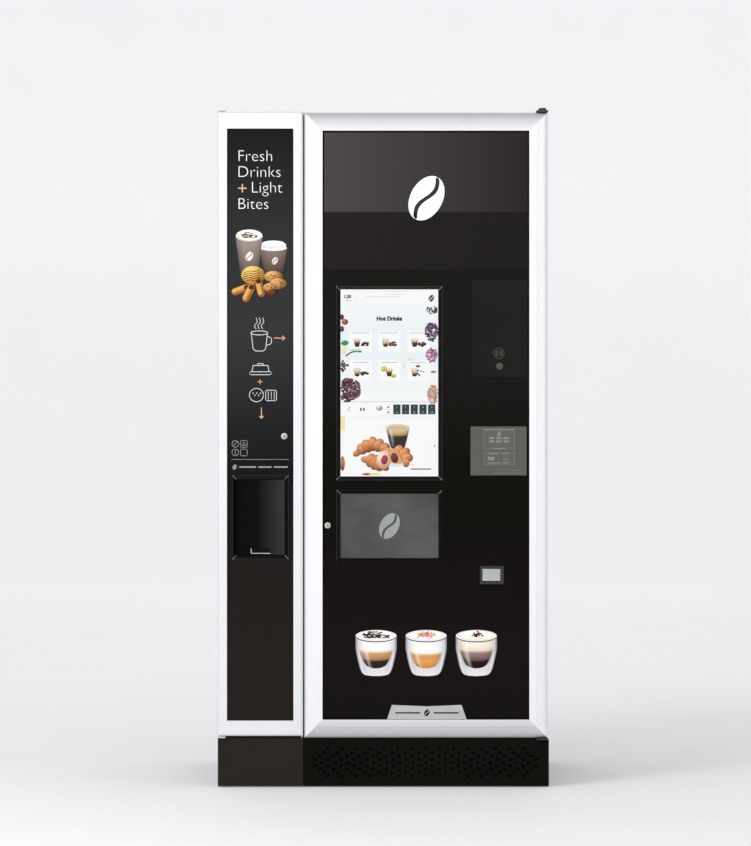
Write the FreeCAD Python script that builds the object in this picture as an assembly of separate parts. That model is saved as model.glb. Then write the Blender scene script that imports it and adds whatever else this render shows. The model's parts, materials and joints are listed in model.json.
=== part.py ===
import FreeCAD, Part
import math
import os

# Free-standing hot drinks vending machine with a narrow snack-and-lid module on its left.
# Millimetres.  +Z up, the front looks along -Y, the origin is the centre of the footprint.

# ---- driving dimensions ---------------------------------------------------------------
WIDTH = 896.0                   # both cabinets together
DEPTH = 740.0                   # front of the door frames to the rear connectors
FRONT = -DEPTH / 2
REAR = DEPTH / 2
LEFT = -WIDTH / 2
RIGHT = WIDTH / 2

SHEET = 2.0                     # cabinet sheet thickness
BACK = 350.0                    # outer face of the rear walls
MAIN_X0, MAIN_X1 = -217.0, 446.0
MAIN_Z0, MAIN_Z1 = 134.0, 1826.0
MAIN_FRONT = -318.0             # front edge of the main cabinet
SIDE_X0, SIDE_X1 = -446.0, -217.0
SIDE_Z0, SIDE_Z1 = 139.4, 1828.0
SIDE_FRONT = -328.0             # front edge of the side module cabinet

DOOR_X0, DOOR_X1 = -214.5, 444.5
DOOR_Z0, DOOR_Z1 = 134.0, 1825.4
DOOR_BACK = -322.0
PROFILE = 50.0                  # face width of the main door frame profiles
# Rolled face of the profile: share of its width from the outer edge, set-back from the front.
FACE_ROLL = ((0.0, 18.0), (0.03, 12.6), (0.1, 8.4), (0.22, 5.2), (0.4, 2.6), (0.64, 0.8), (1.0, 0.0))
SDOOR_X0, SDOOR_X1 = -448.0, -217.3
SDOOR_Z0, SDOOR_Z1 = 139.4, 1828.0
SDOOR_BACK = -334.0
STILE, TOP_RAIL, LOW_RAIL = 25.5, 47.0, 42.0

PANEL_Y0, PANEL_Y1 = -364.0, -360.0     # front plate of both door panels
PANEL_FLANGE = -357.0                   # rear face of the panel flange
GLASS_Y = -356.0                        # plane of the sunk bezels' inner edges
LINER_Y0, LINER_Y1 = -325.0, -323.5

HINGE_X, HINGE_Y = 430.5, -356.0        # main door hinge axis
SIDE_HINGE_X = -437.0
PIN_R, PIN_BORE_R = 5.0, 5.4

SCREEN = (-115.7, 148.3, 841.3, 1346.7)         # lit area: x0, x1, z0, z1
SCREEN_BEZEL = (-127.0, 159.5, 831.0, 1355.0)
PICKUP = (-115.7, 149.2, 620.0, 794.7)          # cup opening
PICKUP_BEZEL = (-127.3, 158.0, 611.7, 804.0)
HATCH = (-401.0, -266.0, 627.0, 833.0)          # snack delivery opening
HATCH_BEZEL = (-408.0, -256.0, 617.0, 844.0)
RETURN_CUP = (264.3, 321.7, 553.3, 595.7)       # coin return, outer walls
PAY = (239.0, 388.0, 1110.0, 1374.0)            # raised payment panel
READER = (235.6, 387.0, 844.0, 976.0)
COIN_X, COIN_Z, COIN_R = 312.0, 1173.5, 15.5
REJECT_X, REJECT_Z, REJECT_R = 314.0, 1139.0, 10.0
LOCK_X, LOCK_Z, LOCK_R = -150.6, 709.0, 8.5
SLOCK_X, SLOCK_Z = -268.0, 950.0

GEAR_MODULE, PINION_TEETH = 1.5, 16     # cup door rack and pinion
PITCH_R = GEAR_MODULE * PINION_TEETH / 2
PINION_X, PINION_Z = 166.0, 618.0
RACK_Z0, RACK_Z1 = 604.0, 804.0

TURRET_X, TURRET_Y = -70.0, -60.0
TUBE_CIRCLE, CUP_TUBE_R = 82.0, 40.0
AUGER_X = (280.0, 340.0, 400.0)
AUGER_Z = 1445.0
SPIRAL_X, SPIRAL_Z = -333.0, 1310.0
FAN_X, FAN_Z = 60.0, 420.0
WALL_PLATE_Y = 80.0             # front of the upright equipment plate


# ---- helpers --------------------------------------------------------------------------
def vec(x, y, z):
    return FreeCAD.Vector(x, y, z)


def box(x0, x1, y0, y1, z0, z1):
    return Part.makeBox(x1 - x0, y1 - y0, z1 - z0, vec(x0, y0, z0))


def rod(axis, x, y, z, radius, length):
    """Cylinder that starts at x, y, z and runs along +axis."""
    way = {"x": vec(1, 0, 0), "y": vec(0, 1, 0), "z": vec(0, 0, 1)}[axis]
    return Part.makeCylinder(radius, length, vec(x, y, z), way)


def fuse(shapes):
    result = shapes[0].fuse(shapes[1:]) if len(shapes) > 1 else shapes[0]
    return result.removeSplitter()


def cut(shape, tools):
    return shape.cut(tools).removeSplitter()


def save(name, *solids):
    """Write one node; separate solids stay separate."""
    shape = solids[0] if len(solids) == 1 else Part.makeCompound(list(solids))
    shape.exportStep("parts/" + name + ".step")


def prism(points, way):
    """Straight prism over a closed polygon of points."""
    return Part.Face(Part.makePolygon(points + points[:1])).extrude(way)


def grown(area, by):
    x0, x1, z0, z1 = area
    return (x0 - by, x1 + by, z0 - by, z1 + by)


def plate(area, y0, y1):
    x0, x1, z0, z1 = area
    return box(x0, x1, y0, y1, z0, z1)


def block_between(first, second):
    """Solid with flat faces between two four-cornered loops of points."""
    loops = [first, second]
    for k in range(4):
        loops.append([first[k], first[k - 1], second[k - 1], second[k]])
    faces = [Part.Face(Part.makePolygon(loop + loop[:1])) for loop in loops]
    solid = Part.makeSolid(Part.makeShell(faces))
    if solid.Volume < 0:
        solid.reverse()
    return solid


def mitred_ring(sections):
    """Four straight walls that meet at the corners; sections holds one loop per corner."""
    return [block_between(sections[i], sections[(i + 1) % 4]) for i in range(4)]


def corners(area):
    x0, x1, z0, z1 = area
    return [(x0, z0), (x1, z0), (x1, z1), (x0, z1)]


def sunk_bezel(outer, inner, y_front, y_back):
    """Rectangular ring of four mitred bars; the face slopes back from a thin lip to the opening."""
    bars = []
    rim, mouth = corners(outer), corners(inner)
    for i in range(4):
        (ax, az), (bx, bz) = rim[i], rim[(i + 1) % 4]
        length = math.hypot(bx - ax, bz - az)
        in_x, in_z = -(bz - az) / length, (bx - ax) / length
        width = (mouth[i][0] - ax) * in_x + (mouth[i][1] - az) * in_z
        section = [vec(ax + in_x * t, y, az + in_z * t)
                   for t, y in ((0, y_front), (1.5, y_front), (width, y_back), (0, y_back))]
        bar = prism(section, vec(bx - ax, 0, bz - az))
        (cx, cz), (dx, dz) = mouth[(i + 1) % 4], mouth[i]
        mitre = prism([vec(x, y_front - 1, z) for x, z in ((ax, az), (bx, bz), (cx, cz), (dx, dz))],
                      vec(0, y_back - y_front + 2, 0))
        bars.append(bar.common(mitre))
    return bars


def tube(axis, x, y, z, outer_r, inner_r, length):
    return cut(rod(axis, x, y, z, outer_r, length), [rod(axis, x, y, z, inner_r, length)])


def funnel(low, high, z0, z1, wall):
    """Four sloping walls between two plan areas: each is x0, x1, y0, y1 outside."""
    sections = []
    for a, b, c, d in zip(corners(low), corners(grown(low, -wall)),
                          corners(grown(high, -wall)), corners(high)):
        sections.append([vec(a[0], a[1], z0), vec(b[0], b[1], z0), vec(c[0], c[1], z1), vec(d[0], d[1], z1)])
    return mitred_ring(sections)


def open_box(area, z0, z1, wall):
    """Floor and four walls, open at the top."""
    floor = box(area[0] + wall, area[1] - wall, area[2] + wall, area[3] - wall, z0, z0 + wall)
    return [floor] + funnel(area, area, z0, z1, wall)


def helix_strip(x, y0, z, radius, wire_r, pitch, length):
    """Round wire wound about +Y, starting at y0."""
    path = Part.makeHelix(pitch, length, radius)
    section = Part.Wire([Part.makeCircle(wire_r, vec(radius, 0, 0), vec(0, 1, 0))])
    coil = Part.Wire(path.Edges).makePipeShell([section], True, True)
    coil.rotate(vec(0, 0, 0), vec(1, 0, 0), -90)
    coil.translate(vec(x, y0, z))
    return coil


os.makedirs("parts", exist_ok=True)

# ---- main cabinet ---------------------------------------------------------------------
left_wall = box(MAIN_X0, MAIN_X0 + SHEET, MAIN_FRONT, BACK, MAIN_Z0, MAIN_Z1 - 20)
right_wall = box(MAIN_X1 - SHEET, MAIN_X1, MAIN_FRONT, BACK, MAIN_Z0, MAIN_Z1 - 20)
save("main_side_walls", left_wall, right_wall)

IN_X0, IN_X1 = MAIN_X0 + SHEET, MAIN_X1 - SHEET
rear = box(IN_X0, IN_X1, BACK - SHEET, BACK, MAIN_Z0 + 3, MAIN_Z1 - 20)
vents = []
for row in range(5):
    for column in range(6):
        vents.append(box(-20 + 30 * column, 0 + 30 * column, BACK - 3, BACK + 1,
                         380 + 18 * row, 388 + 18 * row))
save("main_back_wall", cut(rear, vents))

# The roof is a folded tray with rolled long edges; it sits over the walls.
roof = box(MAIN_X0, MAIN_X1, MAIN_FRONT, BACK, MAIN_Z1 - 20, MAIN_Z1)
long_edges = [e for e in roof.Edges
              if abs(e.CenterOfMass.z - MAIN_Z1) < 0.1 and abs(e.Length - (BACK - MAIN_FRONT)) < 0.1]
roof = roof.makeFillet(9.0, long_edges)
hollow = box(IN_X0, IN_X1, MAIN_FRONT + SHEET, BACK - SHEET, MAIN_Z1 - 20, MAIN_Z1 - SHEET)
hollow_edges = [e for e in hollow.Edges
                if abs(e.CenterOfMass.z - (MAIN_Z1 - SHEET)) < 0.1 and e.Length > 600
                and abs(e.tangentAt(e.FirstParameter).y) > 0.9]
hollow = hollow.makeFillet(7.0, hollow_edges)
save("main_roof", cut(roof, [hollow]))

save("main_floor", box(IN_X0, IN_X1, MAIN_FRONT, BACK, MAIN_Z0, MAIN_Z0 + 3))

# ---- side module cabinet --------------------------------------------------------------
save("module_shell",
     box(SIDE_X0, SIDE_X0 + SHEET, SIDE_FRONT, BACK, SIDE_Z0 + 3, SIDE_Z1 - SHEET),
     box(SIDE_X1 - SHEET, SIDE_X1, SIDE_FRONT, BACK, SIDE_Z0 + 3, SIDE_Z1 - SHEET),
     box(SIDE_X0, SIDE_X1, SIDE_FRONT, BACK, SIDE_Z1 - SHEET, SIDE_Z1),
     box(SIDE_X0, SIDE_X1, SIDE_FRONT, BACK, SIDE_Z0, SIDE_Z0 + 3),
     box(SIDE_X0 + SHEET, SIDE_X1 - SHEET, BACK - SHEET, BACK, SIDE_Z0 + 3, SIDE_Z1 - SHEET))

# ---- base -----------------------------------------------------------------------------
# Grille: nine rows fanned out about one centre line; holes stretch and lean towards the ends.
GRILLE_X = 114.6
GRILLE_ROWS = ((103.5, 15, 37.8), (93.0, 16, 36.6), (83.7, 17, 35.7), (74.8, 18, 35.2),
               (65.9, 17, 35.0), (57.0, 18, 35.2), (48.3, 17, 35.7), (39.4, 16, 36.6),
               (30.0, 15, 37.8))
PLINTH_Y0, PLINTH_Y1 = -352.0, -349.0
PLINTH_TOP = 132.0


def grille_hole(x, z):
    """Slot through the plinth: round near the centre, longer and tilted further out."""
    reach = (x - GRILLE_X) / 320.0
    height = (z - 66.0) / 38.0
    radius = 3.9 - 0.5 * abs(reach)
    length = 2.0 * radius + 7.5 * abs(reach) ** 1.5
    tilt = math.degrees(math.atan2(height * abs(reach) * 0.8, 1.0)) * (1 if reach >= 0 else -1)
    half = length / 2 - radius
    slot = rod("y", x, PLINTH_Y0 - 1, z, radius, 5)
    if half > 0.3:
        slot = fuse([rod("y", x - half, PLINTH_Y0 - 1, z, radius, 5),
                     rod("y", x + half, PLINTH_Y0 - 1, z, radius, 5),
                     box(x - half, x + half, PLINTH_Y0 - 1, PLINTH_Y0 + 4, z - radius, z + radius)])
        slot.rotate(vec(x, 0, z), vec(0, 1, 0), -tilt)
    return slot


holes = []
for z, count, pitch in GRILLE_ROWS:
    for i in range(count):
        holes.append(grille_hole(GRILLE_X + (i - (count - 1) / 2) * pitch, z))
grille = box(-216.0, RIGHT, PLINTH_Y0, PLINTH_Y1, 3.0, PLINTH_TOP)
hinge_notch = box(412.0, RIGHT + 1, PLINTH_Y0 - 1, PLINTH_Y1 + 1, 128.0, PLINTH_TOP + 1)
save("base_grille",
     cut(grille, [Part.makeCompound(holes), hinge_notch]),
     box(RIGHT - 3, RIGHT, PLINTH_Y1, BACK, 3.0, 128.0),
     box(-216.0, -213.0, PLINTH_Y1, BACK, 3.0, 128.0))
save("module_plinth",
     box(LEFT, -217.0, PLINTH_Y0, PLINTH_Y1, 3.0, 134.0),
     box(LEFT, LEFT + 3, PLINTH_Y1, BACK, 3.0, 134.0),
     box(-220.0, -217.0, PLINTH_Y1, BACK, 3.0, 134.0))

MAIN_FEET = [(x, y) for x in (-185.0, 415.0) for y in (-290.0, 320.0)]
SIDE_FEET = [(x, y) for x in (-415.0, -250.0) for y in (-290.0, 320.0)]


def rails(x_pair, top):
    """Two fore-and-aft tubes joined by two cross tubes, 40 mm square, bored for the feet."""
    parts = []
    for x in x_pair:
        parts.append(box(x - 20, x + 20, -340, 345, top - 40, top))
    for y in (-290.0, 320.0):
        parts.append(box(x_pair[0] + 20, x_pair[1] - 20, y - 20, y + 20, top - 40, top))
    bores = [rod("z", x, y, top - 45, 6.4, 50) for x in x_pair for y in (-290.0, 320.0)]
    hollow = [box(x - 18, x + 18, -250, 280, top - 38, top - 2) for x in x_pair]
    return [cut(parts[0], bores + hollow), cut(parts[1], bores + hollow)] + parts[2:]


save("base_frame", *(rails((-185.0, 415.0), MAIN_Z0) + rails((-415.0, -250.0), SIDE_Z0)))

feet = []
for x, y in MAIN_FEET + SIDE_FEET:
    pad = Part.makeCone(26.0, 14.0, 12.0, vec(x, y, 0), vec(0, 0, 1))
    nut = prism([vec(x + 11 * math.cos(math.radians(60 * k)), y + 11 * math.sin(math.radians(60 * k)), 84)
                 for k in range(6)], vec(0, 0, 8))
    feet.append(fuse([pad, rod("z", x, y, 12, 6.0, 110), nut]))
save("levelling_feet", *feet)

# ---- hinges and strikes ---------------------------------------------------------------
def hinge_bracket(x, x0, x1, z_plate, thick, pin_z0, pin_z1, tail):
    """Flat bracket reaching forward from the cabinet with an upright pin at its front."""
    arm = box(x0, x1, -367.5, tail, z_plate, z_plate + thick)
    return fuse([arm, rod("z", x, HINGE_Y, pin_z0, PIN_R, pin_z1 - pin_z0)])


top_bracket = hinge_bracket(HINGE_X, 414.0, 445.5, MAIN_Z1 + 0.5, 4.5, 1806.0, 1830.0, -250.0)
pin_cap = Part.makeCone(11.5, 9.5, 6.0, vec(HINGE_X, HINGE_Y, 1831.0), vec(0, 0, 1))
top_foot = box(414.0, 435.0, -300.0, -250.0, MAIN_Z1, MAIN_Z1 + 0.5)
side_bracket = hinge_bracket(SIDE_HINGE_X, -446.0, -427.0, SIDE_Z1 + 0.5, 2.0, 1808.0, 1830.5, -290.0)
side_foot = box(-446.0, -427.0, -320.0, -290.0, SIDE_Z1, SIDE_Z1 + 0.5)
save("hinge_brackets",
     fuse([top_bracket, pin_cap, top_foot]),
     hinge_bracket(HINGE_X, 414.0, 445.5, 129.0, 3.5, 129.0, 152.0, -340.0),
     fuse([side_bracket, side_foot]),
     hinge_bracket(SIDE_HINGE_X, -446.0, -427.0, 134.5, 3.5, 134.5, 158.0, -340.0))
save("strike_plates",
     box(-215.0, -188.0, -320.0, -318.0, 680.0, 738.0),
     box(-215.0, -213.0, -318.0, -280.0, 680.0, 738.0),
     box(-240.0, -219.0, -331.5, -329.5, 921.0, 979.0),
     box(-221.0, -219.0, -329.5, -290.0, 921.0, 979.0))

# ---- main door ------------------------------------------------------------------------
def profile_bar(length):
    """Hollow frame profile lying along +X; its outer edge is at z = 0, its inner at PROFILE."""
    def section(inset):
        span = PROFILE - 2 * inset
        roll = [vec(0, FRONT + inset + drop, inset + span * share) for share, drop in FACE_ROLL]
        face = Part.BSplineCurve()
        face.interpolate(Points=roll, InitialTangent=vec(0, -1, 0), FinalTangent=vec(0, 0, 1))
        back = DOOR_BACK - inset
        points = [roll[-1], vec(0, back, PROFILE - inset), vec(0, back, inset), roll[0]]
        return Part.Face(Part.Wire([face.toShape()] + Part.makePolygon(points).Edges))
    return section(0.0).cut(section(2.5)).extrude(vec(length, 0, 0))


def frame_side(length, start, angle):
    """One mitred side: laid along +X from start, then turned about Y by angle."""
    bar = profile_bar(length)
    for x_tip, way in ((0.0, 1.0), (length, -1.0)):
        far = x_tip - way * 200.0
        wedge = prism([vec(x_tip, -400, 0), vec(x_tip + way * 200.0, -400, 200.0),
                       vec(far, -400, 200.0), vec(far, -400, 0)], vec(0, 100, 0))
        bar = bar.cut(wedge)
    bar.rotate(vec(0, 0, 0), vec(0, 1, 0), angle)
    bar.translate(start)
    return bar


DOOR_W, DOOR_H = DOOR_X1 - DOOR_X0, DOOR_Z1 - DOOR_Z0
bottom = frame_side(DOOR_W, vec(DOOR_X0, 0, DOOR_Z0), 0)
top = frame_side(DOOR_W, vec(DOOR_X1, 0, DOOR_Z1), 180)
left = frame_side(DOOR_H, vec(DOOR_X0, 0, DOOR_Z1), 90)
right = frame_side(DOOR_H, vec(DOOR_X1, 0, DOOR_Z0), -90)
top_bore = rod("z", HINGE_X, HINGE_Y, 1800.0, PIN_BORE_R, 30.0)
low_bore = rod("z", HINGE_X, HINGE_Y, 130.0, PIN_BORE_R, 26.0)
save("main_door_frame", bottom.cut(low_bore), top.cut(top_bore), left,
     right.cut(top_bore).cut(low_bore))

IN_DOOR = (DOOR_X0 + PROFILE, DOOR_X1 - PROFILE, DOOR_Z0 + PROFILE, DOOR_Z1 - PROFILE)
SEAM = 5.0
panel = fuse([plate(grown(IN_DOOR, -0.2), PANEL_Y1, PANEL_FLANGE),
              plate(grown(IN_DOOR, -SEAM), PANEL_Y0, PANEL_Y1)])
through = [plate(grown(SCREEN_BEZEL, 0.2), -371, -350), plate(grown(PICKUP_BEZEL, 0.2), -371, -350),
           plate(grown(RETURN_CUP, 0.3), -371, -350),
           rod("y", LOCK_X, -371, LOCK_Z, LOCK_R + 0.3, 25),
           rod("y", COIN_X, -371, COIN_Z, COIN_R + 0.3, 25),
           rod("y", REJECT_X, -371, REJECT_Z, REJECT_R + 0.4, 25)]
save("main_door_panel", cut(panel, through))

HEADER = (IN_DOOR[0] + SEAM, IN_DOOR[1] - SEAM, 1401.0, IN_DOOR[3] - SEAM)
save("header_panel", plate(HEADER, PANEL_Y0 - 1.5, PANEL_Y0))

save("touchscreen_bezel", *sunk_bezel(SCREEN_BEZEL, SCREEN, PANEL_Y0 - 0.8, GLASS_Y))
screen_glass = plate(grown(SCREEN, 8.0), GLASS_Y, GLASS_Y + 4)
screen_body = plate(grown(SCREEN, 4.0), GLASS_Y + 4, -332.0)
save("touchscreen", fuse([screen_glass, screen_body]))

# Cup door surround with the guides the sliding window runs in.
guides = [box(-126.0, -121.6, PANEL_FLANGE, -349.0, 436.0, 806.0),
          box(-121.6, -115.8, -350.3, -349.0, 436.0, 806.0),
          box(156.6, 161.0, PANEL_FLANGE, -350.6, 436.0, 806.0)]
save("pickup_bezel", *(sunk_bezel(PICKUP_BEZEL, PICKUP, PANEL_Y0 - 0.8, PANEL_FLANGE) + guides))

WINDOW = (-121.0, 156.0, 612.0, 802.0)
save("cup_door_window", plate(WINDOW, -355.5, -351.5))


def rack_tooth(z):
    """Tooth pointing along +X on a flank line at the pitch line PINION_X - PITCH_R."""
    x_pitch = PINION_X - PITCH_R
    root, tip = x_pitch - 1.875, x_pitch + 1.35
    half = 0.95
    lean = math.tan(math.radians(20))
    low, high = half + lean * 1.875, half - lean * 1.35
    return prism([vec(root, RACK_Y0, z - low), vec(tip, RACK_Y0, z - high),
                  vec(tip, RACK_Y0, z + high), vec(root, RACK_Y0, z + low)],
                 vec(0, RACK_Y1 - RACK_Y0, 0))


def pinion_gear():
    """Spur gear about Y with a tooth gap facing -X, made from involute flanks."""
    base_r = PITCH_R * math.cos(math.radians(20))
    tip_r, root_r = PITCH_R + 1.35, PITCH_R - 1.875
    half_at_pitch = 0.95 / PITCH_R
    inv_20 = math.tan(math.radians(20)) - math.radians(20)
    points = []
    for k in range(PINION_TEETH):
        centre = math.radians(180.0 + 360.0 / PINION_TEETH * (k + 0.5))
        flank = [(root_r, half_at_pitch + inv_20)]
        for step in range(5):
            r = base_r + (tip_r - base_r) * step / 4
            roll = math.acos(min(1.0, base_r / r))
            flank.append((r, half_at_pitch + inv_20 - (math.tan(roll) - roll)))
        for r, half in flank:
            points.append((r, centre - half))
        for r, half in reversed(flank):
            points.append((r, centre + half))
    outline = [vec(PINION_X + r * math.cos(a), PINION_Y0, PINION_Z + r * math.sin(a)) for r, a in points]
    return prism(outline, vec(0, PINION_Y1 - PINION_Y0, 0))


RACK_Y0, RACK_Y1 = -351.5, -344.0
PINION_Y0, PINION_Y1 = -349.6, -344.4
TOOTH_PITCH = math.pi * GEAR_MODULE
rack_root = PINION_X - PITCH_R - 1.875
rack_parts = [box(146.0, rack_root, RACK_Y0, RACK_Y1, RACK_Z0, RACK_Z1)]
first = math.ceil((RACK_Z0 + 2 - PINION_Z) / TOOTH_PITCH)
last = math.floor((RACK_Z1 - 2 - PINION_Z) / TOOTH_PITCH)
for k in range(first, last + 1):
    rack_parts.append(rack_tooth(PINION_Z + k * TOOTH_PITCH))
save("cup_door_rack", fuse(rack_parts))

pinion_shaft = rod("y", PINION_X, PINION_Y1, PINION_Z, 3.0, 14.0)
save("cup_door_pinion", fuse([pinion_gear(), pinion_shaft]))

pay_face = plate(PAY, PANEL_Y0 - 2.5, PANEL_Y0)
save("payment_panel", cut(pay_face, [rod("y", COIN_X, -371, COIN_Z, COIN_R + 0.3, 20),
                                     rod("y", REJECT_X, -371, REJECT_Z, REJECT_R + 0.4, 20)]))
coin_ring = rod("y", COIN_X, -367.8, COIN_Z, COIN_R, 22.0)
coin_dish = Part.makeCone(12.5, 10.5, 3.0, vec(COIN_X, -367.8, COIN_Z), vec(0, 1, 0))
coin_gap = box(COIN_X - 2.5, COIN_X + 2.5, -368, -335, COIN_Z - 9.5, COIN_Z + 9.5)
save("coin_slot", cut(coin_ring, [coin_dish, coin_gap]))

button = rod("y", REJECT_X, -369.5, REJECT_Z, REJECT_R, 18.0)
rim = [e for e in button.Edges if abs(e.CenterOfMass.y + 369.5) < 0.1 and e.Closed]
save("reject_button", button.makeFillet(1.2, rim))

save("card_reader", plate(READER, PANEL_Y0 - 1.5, PANEL_Y0))

CUP_BACK = -328.0
FLAP_Z, FLAP_Y = 590.6, -358.0
CAVITY = (267.0, 317.0, 556.0, 593.0)
cup_walls = []
for x0, x1, z0, z1 in ((RETURN_CUP[0], CAVITY[0], RETURN_CUP[2], RETURN_CUP[3]),
                       (CAVITY[1], RETURN_CUP[1], RETURN_CUP[2], RETURN_CUP[3]),
                       (CAVITY[0], CAVITY[1], RETURN_CUP[2], CAVITY[2]),
                       (CAVITY[0], CAVITY[1], CAVITY[3], RETURN_CUP[3])):
    cup_walls.append(box(x0, x1, PANEL_Y0, CUP_BACK, z0, z1))
cup_walls[0] = cup_walls[0].cut(rod("x", 265.4, FLAP_Y, FLAP_Z, 1.5, 2.0))
cup_walls[1] = cup_walls[1].cut(rod("x", 316.8, FLAP_Y, FLAP_Z, 1.5, 2.0))
cup_walls.append(plate(CAVITY, CUP_BACK - 2.0, CUP_BACK))
cup_rim = sunk_bezel(grown(RETURN_CUP, 3.2), CAVITY, PANEL_Y0 - 2.0, PANEL_Y0)
save("coin_return_cup", *(cup_walls + cup_rim))
flap_leaf = box(268.0, 316.0, FLAP_Y - 0.8, FLAP_Y + 0.8, 558.5, FLAP_Z)
save("coin_return_flap", fuse([flap_leaf, rod("x", 265.8, FLAP_Y, FLAP_Z, 1.2, 52.4)]))

badge = prism([vec(10, -369, 185), vec(225, -369, 185), vec(211, -369, 224), vec(117.5, -369, 220),
               vec(23, -369, 224)], vec(0, PANEL_Y0 + 369.0, 0))
save("frame_badge", badge)

# ---- behind the main door -------------------------------------------------------------
liner = plate(grown(IN_DOOR, -0.3), LINER_Y0, LINER_Y1)
liner_cuts = [box(-124, 158, -327, -320, 590, 825), box(228, 392, -327, -320, 1003, 1397),
              rod("y", LOCK_X, -327, LOCK_Z, LOCK_R + 1.0, 8)]
save("door_liner", cut(liner, liner_cuts))

changer = [box(235, 385, -345, -262, 1010, 1390)]
for i in range(4):
    changer.append(rod("z", 256.0 + 36.0 * i, -258.0, 1030.0, 15.0, 190.0))
changer.append(box(250, 370, -262, -244, 1250, 1360))
save("coin_changer", fuse(changer))

motor_box = box(150, 184, -342.5, LINER_Y0, 600, 636)
save("cup_door_motor", cut(motor_box, [rod("y", PINION_X, -344, PINION_Z, 3.3, 16)]))


def cylinder_lock(x, z, y_cam, y_end, cam_to):
    """Key cylinder with a shaft and a cam plate that hangs straight down at rest."""
    barrel = rod("y", x, -367.0, z, LOCK_R, 37.0)
    keyway = fuse([box(x - 0.9, x + 0.9, -368, -362, z - 4.5, z + 4.5), rod("y", x, -368, z, 1.6, 6)])
    shaft = rod("y", x, -330.0, z, 5.0, y_end + 330.0)
    cam = box(x - 7, x + 7, y_cam, y_end, z - cam_to, z + 7)
    return cut(fuse([barrel, shaft, cam]), [keyway])


save("main_lock_cylinder", cylinder_lock(LOCK_X, LOCK_Z, -316.0, -313.0, 50.0))

# ---- side module door -----------------------------------------------------------------
def soft_bar(x0, x1, z0, z1, x_edges=(), z_edges=()):
    """Door frame bar whose outer front edges are rounded; edges are given by position."""
    bar = box(x0, x1, FRONT, SDOOR_BACK, z0, z1)
    rounded = []
    for e in bar.Edges:
        centre = e.CenterOfMass
        if abs(centre.y - FRONT) > 0.1:
            continue
        if any(abs(centre.x - x) < 0.1 for x in x_edges) or any(abs(centre.z - z) < 0.1 for z in z_edges):
            rounded.append(e)
    return bar.makeFillet(8.0, rounded)


left_stile = soft_bar(SDOOR_X0, SDOOR_X0 + STILE, SDOOR_Z0, SDOOR_Z1, (SDOOR_X0,), (SDOOR_Z0, SDOOR_Z1))
right_stile = soft_bar(SDOOR_X1 - STILE, SDOOR_X1, SDOOR_Z0, SDOOR_Z1, (SDOOR_X1,), (SDOOR_Z0, SDOOR_Z1))
top_bar = soft_bar(SDOOR_X0 + STILE, SDOOR_X1 - STILE, SDOOR_Z1 - TOP_RAIL, SDOOR_Z1, (), (SDOOR_Z1,))
low_bar = soft_bar(SDOOR_X0 + STILE, SDOOR_X1 - STILE, SDOOR_Z0, SDOOR_Z0 + LOW_RAIL, (), (SDOOR_Z0,))
stile_core = box(SDOOR_X0 + 3, SDOOR_X0 + STILE - 3, -360, -337, SDOOR_Z0 + 30, SDOOR_Z1 - 30)
left_stile = left_stile.cut(fuse([stile_core, rod("z", SIDE_HINGE_X, HINGE_Y, 1800, PIN_BORE_R, 30)]))
left_stile = left_stile.cut(rod("z", SIDE_HINGE_X, HINGE_Y, 130, PIN_BORE_R, 35))
right_core = box(SDOOR_X1 - STILE + 3, SDOOR_X1 - 3, -360, -337, SDOOR_Z0 + 30, SDOOR_Z1 - 30)
save("side_door_frame", left_stile, right_stile.cut(right_core), top_bar, low_bar)

IN_SDOOR = (SDOOR_X0 + STILE, SDOOR_X1 - STILE, SDOOR_Z0 + LOW_RAIL, SDOOR_Z1 - TOP_RAIL)
side_panel = fuse([plate(grown(IN_SDOOR, -0.2), PANEL_Y1, PANEL_FLANGE),
                   plate(grown(IN_SDOOR, -1.0), PANEL_Y0, PANEL_Y1)])
save("side_door_panel", cut(side_panel, [plate(grown(HATCH_BEZEL, 0.2), -371, -350),
                                         rod("y", SLOCK_X, -371, SLOCK_Z, LOCK_R + 0.3, 25)]))

ear_left = box(HATCH_BEZEL[0], HATCH[0] - 0.4, PANEL_FLANGE, -344, 818, 843)
ear_right = box(HATCH[1] + 0.4, HATCH_BEZEL[1], PANEL_FLANGE, -344, 818, 843)
HATCH_PIN_Y, HATCH_PIN_Z = -353.5, 829.5
hatch_ears = [ear_left.cut(rod("x", HATCH[0] - 5, HATCH_PIN_Y, HATCH_PIN_Z, 2.2, 6)),
              ear_right.cut(rod("x", HATCH[1] - 1, HATCH_PIN_Y, HATCH_PIN_Z, 2.2, 6))]
save("hatch_bezel", *(sunk_bezel(HATCH_BEZEL, HATCH, PANEL_Y0 - 1.2, PANEL_FLANGE) + hatch_ears))
hatch_leaf = box(HATCH[0] + 1, HATCH[1] - 1, HATCH_PIN_Y - 2, HATCH_PIN_Y + 2, 628.5, 831.5)
finger_notch = box(-360, -305, HATCH_PIN_Y - 3, HATCH_PIN_Y - 0.3, 632, 648)
hatch_pin = rod("x", HATCH[0] - 3.5, HATCH_PIN_Y, HATCH_PIN_Z, 1.8, HATCH[1] - HATCH[0] + 7.0)
save("hatch_flap", fuse([cut(hatch_leaf, [finger_notch]), hatch_pin]))
save("side_lock_cylinder", cylinder_lock(SLOCK_X, SLOCK_Z, -327.5, -325.0, 39.0))

# ---- drinks equipment -----------------------------------------------------------------
upright = box(IN_X0, IN_X1, WALL_PLATE_Y, WALL_PLATE_Y + 2, 545.0, 1800.0)
upright = cut(upright, [rod("y", x, WALL_PLATE_Y - 1, AUGER_Z, 5.2, 5) for x in AUGER_X])
save("equipment_shelf", upright, box(IN_X0, IN_X1, -225.0, BACK - SHEET, 540.0, 543.0))

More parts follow.
